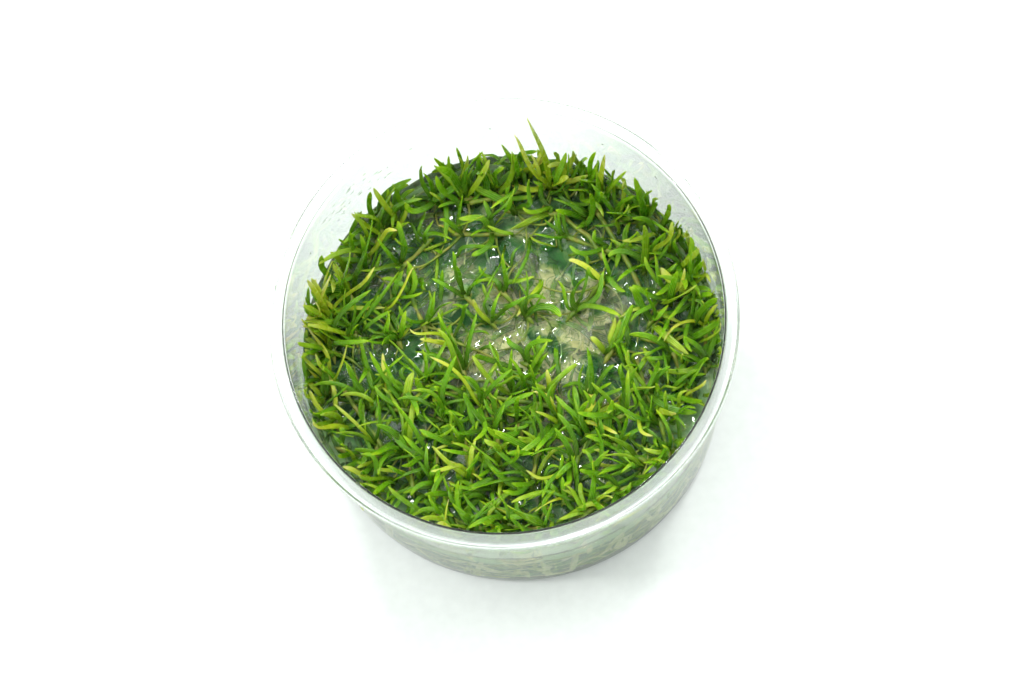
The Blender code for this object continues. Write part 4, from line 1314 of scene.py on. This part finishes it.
flow = add_node(tree, "ShaderNodeTexNoise", {"Scale": per_mm(FLOW_MM), "Detail": 1.0},
                {"Vector": where}).outputs["Fac"]
relief = add_node(tree, "ShaderNodeBump", {"Strength": 0.15, "Distance": FLOW_DEPTH_MM * MM},
                  {"Height": flow}).outputs[0]
tree.links.new(relief, shader.inputs["Normal"])
absorbs = add_node(tree, "ShaderNodeVolumeAbsorption",
                   {"Color": STYRENE_TINT, "Density": STYRENE_DENSITY})
tree.links.new(absorbs.outputs[0], tree.nodes["Material Output"].inputs["Volume"])
print(STYRENE.name)

# %% The cup's section
CUP_SPOKES = 256
RIM_THICK = 0.6
RIPPLE_DEPTH = 0.015
MOUTH_ROUND, LIP_ROUND, SKIRT_ROUND = 0.15, 0.8, 0.28
UNDER_ROUND, WALL_ROUND = 0.35, 0.3
FLOOR_ROUND = 0.9
UNDERSIDE_RISE = 0.3


def arc(centre_x, centre_z, radius, start, end, points=6):
    """Points of a corner's round, with its angles in degrees from +X towards +Z."""
    turns = np.radians(np.linspace(start, end, points))
    return [(centre_x + radius * math.cos(a), centre_z + radius * math.sin(a)) for a in turns]


def cup_section():
    """(radius, height) from the middle of the floor's top, over the folded rim, to underneath."""
    top, skirt_foot = CUP_HEIGHT, CUP_HEIGHT - RIM_BAND_HEIGHT
    mouth, wall_top = inside_radius(top), shell_radius(top - 1)
    under, skirt = top - RIM_THICK, RIM_RADIUS - RIM_THICK
    floor_edge, flat = inside_radius(0), BASE_RADIUS - BASE_ROUND
    line = [((floor_edge - 1.2) * k / 4, FLOOR) for k in range(1, 5)]
    line += arc(floor_edge - 0.8, FLOOR + FLOOR_ROUND, FLOOR_ROUND, -80, -2)
    line += [(inside_radius(z), z) for z in range(4, 41, 3)]
    line += arc(mouth + MOUTH_ROUND, top - MOUTH_ROUND, MOUTH_ROUND, 180, 90)
    line += arc(RIM_RADIUS - LIP_ROUND, top - LIP_ROUND, LIP_ROUND, 90, 0, 8)
    line += [(RIM_RADIUS, top - 1.7), (RIM_RADIUS, skirt_foot + 0.7)]
    line += arc(RIM_RADIUS - SKIRT_ROUND, skirt_foot + SKIRT_ROUND, SKIRT_ROUND, 0, -180, 9)
    line += [(skirt, skirt_foot + 0.8), (skirt, under - 0.6)]
    line += arc(skirt - UNDER_ROUND, under - UNDER_ROUND, UNDER_ROUND, 0, 90, 5)
    line += arc(wall_top + WALL_ROUND, under - WALL_ROUND, WALL_ROUND, 90, 180, 5)
    line += [(shell_radius(z), z) for z in range(40, 3, -3)]
    line += arc(flat, BASE_ROUND, BASE_ROUND, 0, -90, 9)
    return line + [(flat - 1.5, 0.0), (flat - 2.2, UNDERSIDE_RISE), (20.0, UNDERSIDE_RISE)]


SECTION = cup_section()


def cup_place(ring, turn):
    """The section turned about the axis, with the faint ripples of plastic that has flowed."""
    if ring == 0:
        return Vector((0, 0, FLOOR))
    if ring > len(SECTION):
        return Vector((0, 0, SECTION[-1][1]))
    out, z = SECTION[ring - 1]
    if FLOOR + 1 < z < CUP_HEIGHT - 0.5 and out < RIM_RADIUS - 0.1:
        out += RIPPLE_DEPTH * noise.noise(Vector((7 * math.cos(turn), 7 * math.sin(turn), z / 6)))
    return Vector((out * math.cos(turn), out * math.sin(turn), z))


cup = disc_mesh("moulded_cup", len(SECTION) + 1, CUP_SPOKES, cup_place)
cup.data.materials.append(STYRENE)
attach(cup, "root")
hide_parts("cup")
print("points in the cup's section", len(SECTION))

# %% [markdown]
# ## Drops on the wall
#
# Warm wet air in the cup leaves drops on the inner wall above the gel, drawn out sideways where
# the cup was tilted. Each is a low dome of water that bends light, so it shows as a small dark
# dash. They are densest at the back left. A pattern in the wall's material could mark them, but
# only a dome bends what lies behind it.

# %% Material: water
# To the eye: tiny dark and bright dashes on the clear wall, with swirls of a faint film 1 mm wide.
WATER_SWIRL_MM = 1.0
WATER, tree, shader = new_material("condensed water", Transmission_Weight=1.0, IOR=1.333,
                                   Roughness=0.01)
where = add_node(tree, "ShaderNodeTexCoord").outputs["Object"]
swirls = add_node(tree, "ShaderNodeTexNoise", {"Scale": per_mm(WATER_SWIRL_MM)},
                  {"Vector": where}).outputs["Fac"]
tints = add_node(tree, "ShaderNodeValToRGB", {}, {0: swirls},
                 ((0.3, "#EEF8F2"), (0.7, "#FFFFFF")))
tree.links.new(tints.outputs[0], shader.inputs["Base Color"])
film = add_node(tree, "ShaderNodeMapRange", {"To Min": 0.0, "To Max": 0.04},
                {"Value": swirls}).outputs[0]
tree.links.new(film, shader.inputs["Roughness"])
print(WATER.name)

# %% The drops
WET_PATCH, WET_PATCH_SPREAD = 124, 6
DROPS_IN_PATCH, DROPS_ELSEWHERE = 26, 40
DROP_SUNK = 0.04
DROP_RINGS, DROP_SPOKES = 5, 12


def add_drop(store, turn, z, long, tall, proud):
    """Adds a drop on the inner wall: an oval dome, its flat side a hair inside the plastic."""
    out = inside_radius(z) - DROP_SUNK
    centre = Vector((out * math.cos(turn), out * math.sin(turn), z))
    inward = Vector((-math.cos(turn), -math.sin(turn), 0.07)).normalized()
    along = Vector((-math.sin(turn), math.cos(turn), 0.0))
    up = inward.cross(along)
    points = []
    for k in range(1, DROP_RINGS + 1):
        share, level = math.sin(math.radians(18 * k)), math.cos(math.radians(18 * k))
        for s in range(DROP_SPOKES):
            a = math.radians(30 * s)
            aside = long * math.cos(a) * along + tall * math.sin(a) * up
            points.append(centre + inward * proud * level + share * aside)
    store.add(points, tube_faces(DROP_RINGS, DROP_SPOKES))


drops = Store()
for _ in range(DROPS_IN_PATCH):
    turn = math.radians(rng.gauss(WET_PATCH, WET_PATCH_SPREAD))
    add_drop(drops, turn, rng.uniform(30.0, 37.5), rng.uniform(0.15, 0.7),
             rng.uniform(0.08, 0.16), rng.uniform(0.05, 0.1))
for _ in range(DROPS_ELSEWHERE):
    turn = rng.uniform(0, 2 * math.pi)
    add_drop(drops, turn, rng.uniform(24.0, 38.0), rng.uniform(0.12, 0.35),
             rng.uniform(0.10, 0.22), rng.uniform(0.06, 0.13))
drops = drops.build("wall_drops", (WATER,))
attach(drops, "root")
print("drops' faces", len(drops.data.polygons))

# %% [markdown]
# ## Floor, light and camera
#
# The floor is a plain white sheet of paper. The light is a white surround with a soft lamp high
# at either side, so that the shadows are faint and short, and a low one in front that shines into
# the gel through the wall. Three small lamps add the fine glints of wet gel, which a surround
# alone would not give, because every facet would mirror the same white.
# The camera looks steeply down on the standing cup through a long lens, turned a little about its
# own axis.

# %% Material: white paper
# To the eye: a dull white that takes soft shadows. Real fibres are too fine to show, so they are
# drawn 2 mm wide and hardly a shade apart.
FIBRE_MM = 2.0
PAPER, tree, shader = new_material("white paper, uncoated", Specular_IOR_Level=0.2)
where = add_node(tree, "ShaderNodeTexCoord").outputs["Object"]
fibres = add_node(tree, "ShaderNodeTexNoise", {"Scale": per_mm(FIBRE_MM), "Detail": 3.0},
                  {"Vector": where}).outputs["Fac"]
whites = add_node(tree, "ShaderNodeValToRGB", {}, {0: fibres},
                  ((0.3, "#ECF1EE"), (0.7, "#F1F6F3")))
tree.links.new(whites.outputs[0], shader.inputs["Base Color"])
dull = add_node(tree, "ShaderNodeMapRange", {"To Min": 0.75, "To Max": 0.9},
                {"Value": fibres}).outputs[0]
tree.links.new(dull, shader.inputs["Roughness"])
print(PAPER.name)

# %% The floor: half its side, and how far it lies under the cup, in metres
FLOOR_HALF, FLOOR_BELOW = 1.2, 0.0001
floor_mesh = bpy.data.meshes.new("paper_floor")
corners = [(FLOOR_HALF * x, FLOOR_HALF * y, 0) for x, y in ((-1, -1), (1, -1), (1, 1), (-1, 1))]
floor_mesh.from_pydata(corners, [], [(0, 1, 2, 3)])
floor = bpy.data.objects.new("paper_floor", floor_mesh)
floor.location.z = -FLOOR_BELOW
floor.data.materials.append(PAPER)
bpy.context.scene.collection.objects.link(floor)
print("floor", 2 * FLOOR_HALF, "m square")

# %% The lights: name, place and size in metres, power in watts
LAMPS = (
    ("left_key", (-0.32, 0.10, 0.62), 0.30, 1.2),
    ("right_key", (0.32, 0.10, 0.62), 0.30, 1.2),
    ("front_fill", (0.05, -0.62, 0.08), 0.15, 1.9),
    ("back_glint", (-0.12, 0.40, 0.60), 0.08, 1.5),
    ("right_glint", (0.30, 0.26, 0.62), 0.08, 1.5),
    ("left_glint", (-0.40, 0.02, 0.56), 0.07, 0.9))
SURROUND, SURROUND_STRENGTH = srgb("#F4F8F6"), 0.84
world = bpy.data.worlds.new("white surround")
bpy.context.scene.world = world
world.use_nodes = True
world.node_tree.nodes["Background"].inputs["Color"].default_value = SURROUND
world.node_tree.nodes["Background"].inputs["Strength"].default_value = SURROUND_STRENGTH


def soft_lamp(name, place, size, watts):
    """A square lamp at place, in metres, that faces the cup."""
    lamp = bpy.data.lights.new(name, "AREA")
    lamp.shape = "SQUARE"
    lamp.size = size
    lamp.energy = watts
    made = bpy.data.objects.new(name, lamp)
    made.location = place
    made.rotation_euler = (Vector((0, 0, 0.02)) - Vector(place)).to_track_quat("-Z", "Y").to_euler()
    bpy.context.scene.collection.objects.link(made)


for lamp in LAMPS:
    soft_lamp(*lamp)
print("lamps", len(LAMPS))

# %% The camera: distances in mm
ELEVATION = math.radians(72.58)
ROLL = math.radians(-13.04)
AIM = Vector((0.52, -4.49, 42.0))
DISTANCE = 600.0
LENS_MM = 124.9

back = Vector((0, -math.cos(ELEVATION), math.sin(ELEVATION)))
level = Vector((1, 0, 0))
up = back.cross(level)
right = math.cos(ROLL) * level + math.sin(ROLL) * up
above = -math.sin(ROLL) * level + math.cos(ROLL) * up
camera = bpy.data.objects.new("camera", bpy.data.cameras.new("camera"))
camera.data.lens = LENS_MM
camera.data.sensor_width = 36
camera.matrix_world = Matrix.Translation((AIM + DISTANCE * back) * MM) @ Matrix(
    (right, above, back)).transposed().to_4x4()
bpy.context.scene.collection.objects.link(camera)
bpy.context.scene.camera = camera
bpy.context.scene.view_settings.view_transform = "Standard"
bpy.context.scene.view_settings.exposure = 0.0
bpy.context.scene.cycles.max_bounces = 14
bpy.context.scene.cycles.transmission_bounces = 13
bpy.context.scene.cycles.glossy_bounces = 10
print("camera", DISTANCE, "mm away,", math.degrees(ELEVATION), "degrees up,", LENS_MM, "mm lens")
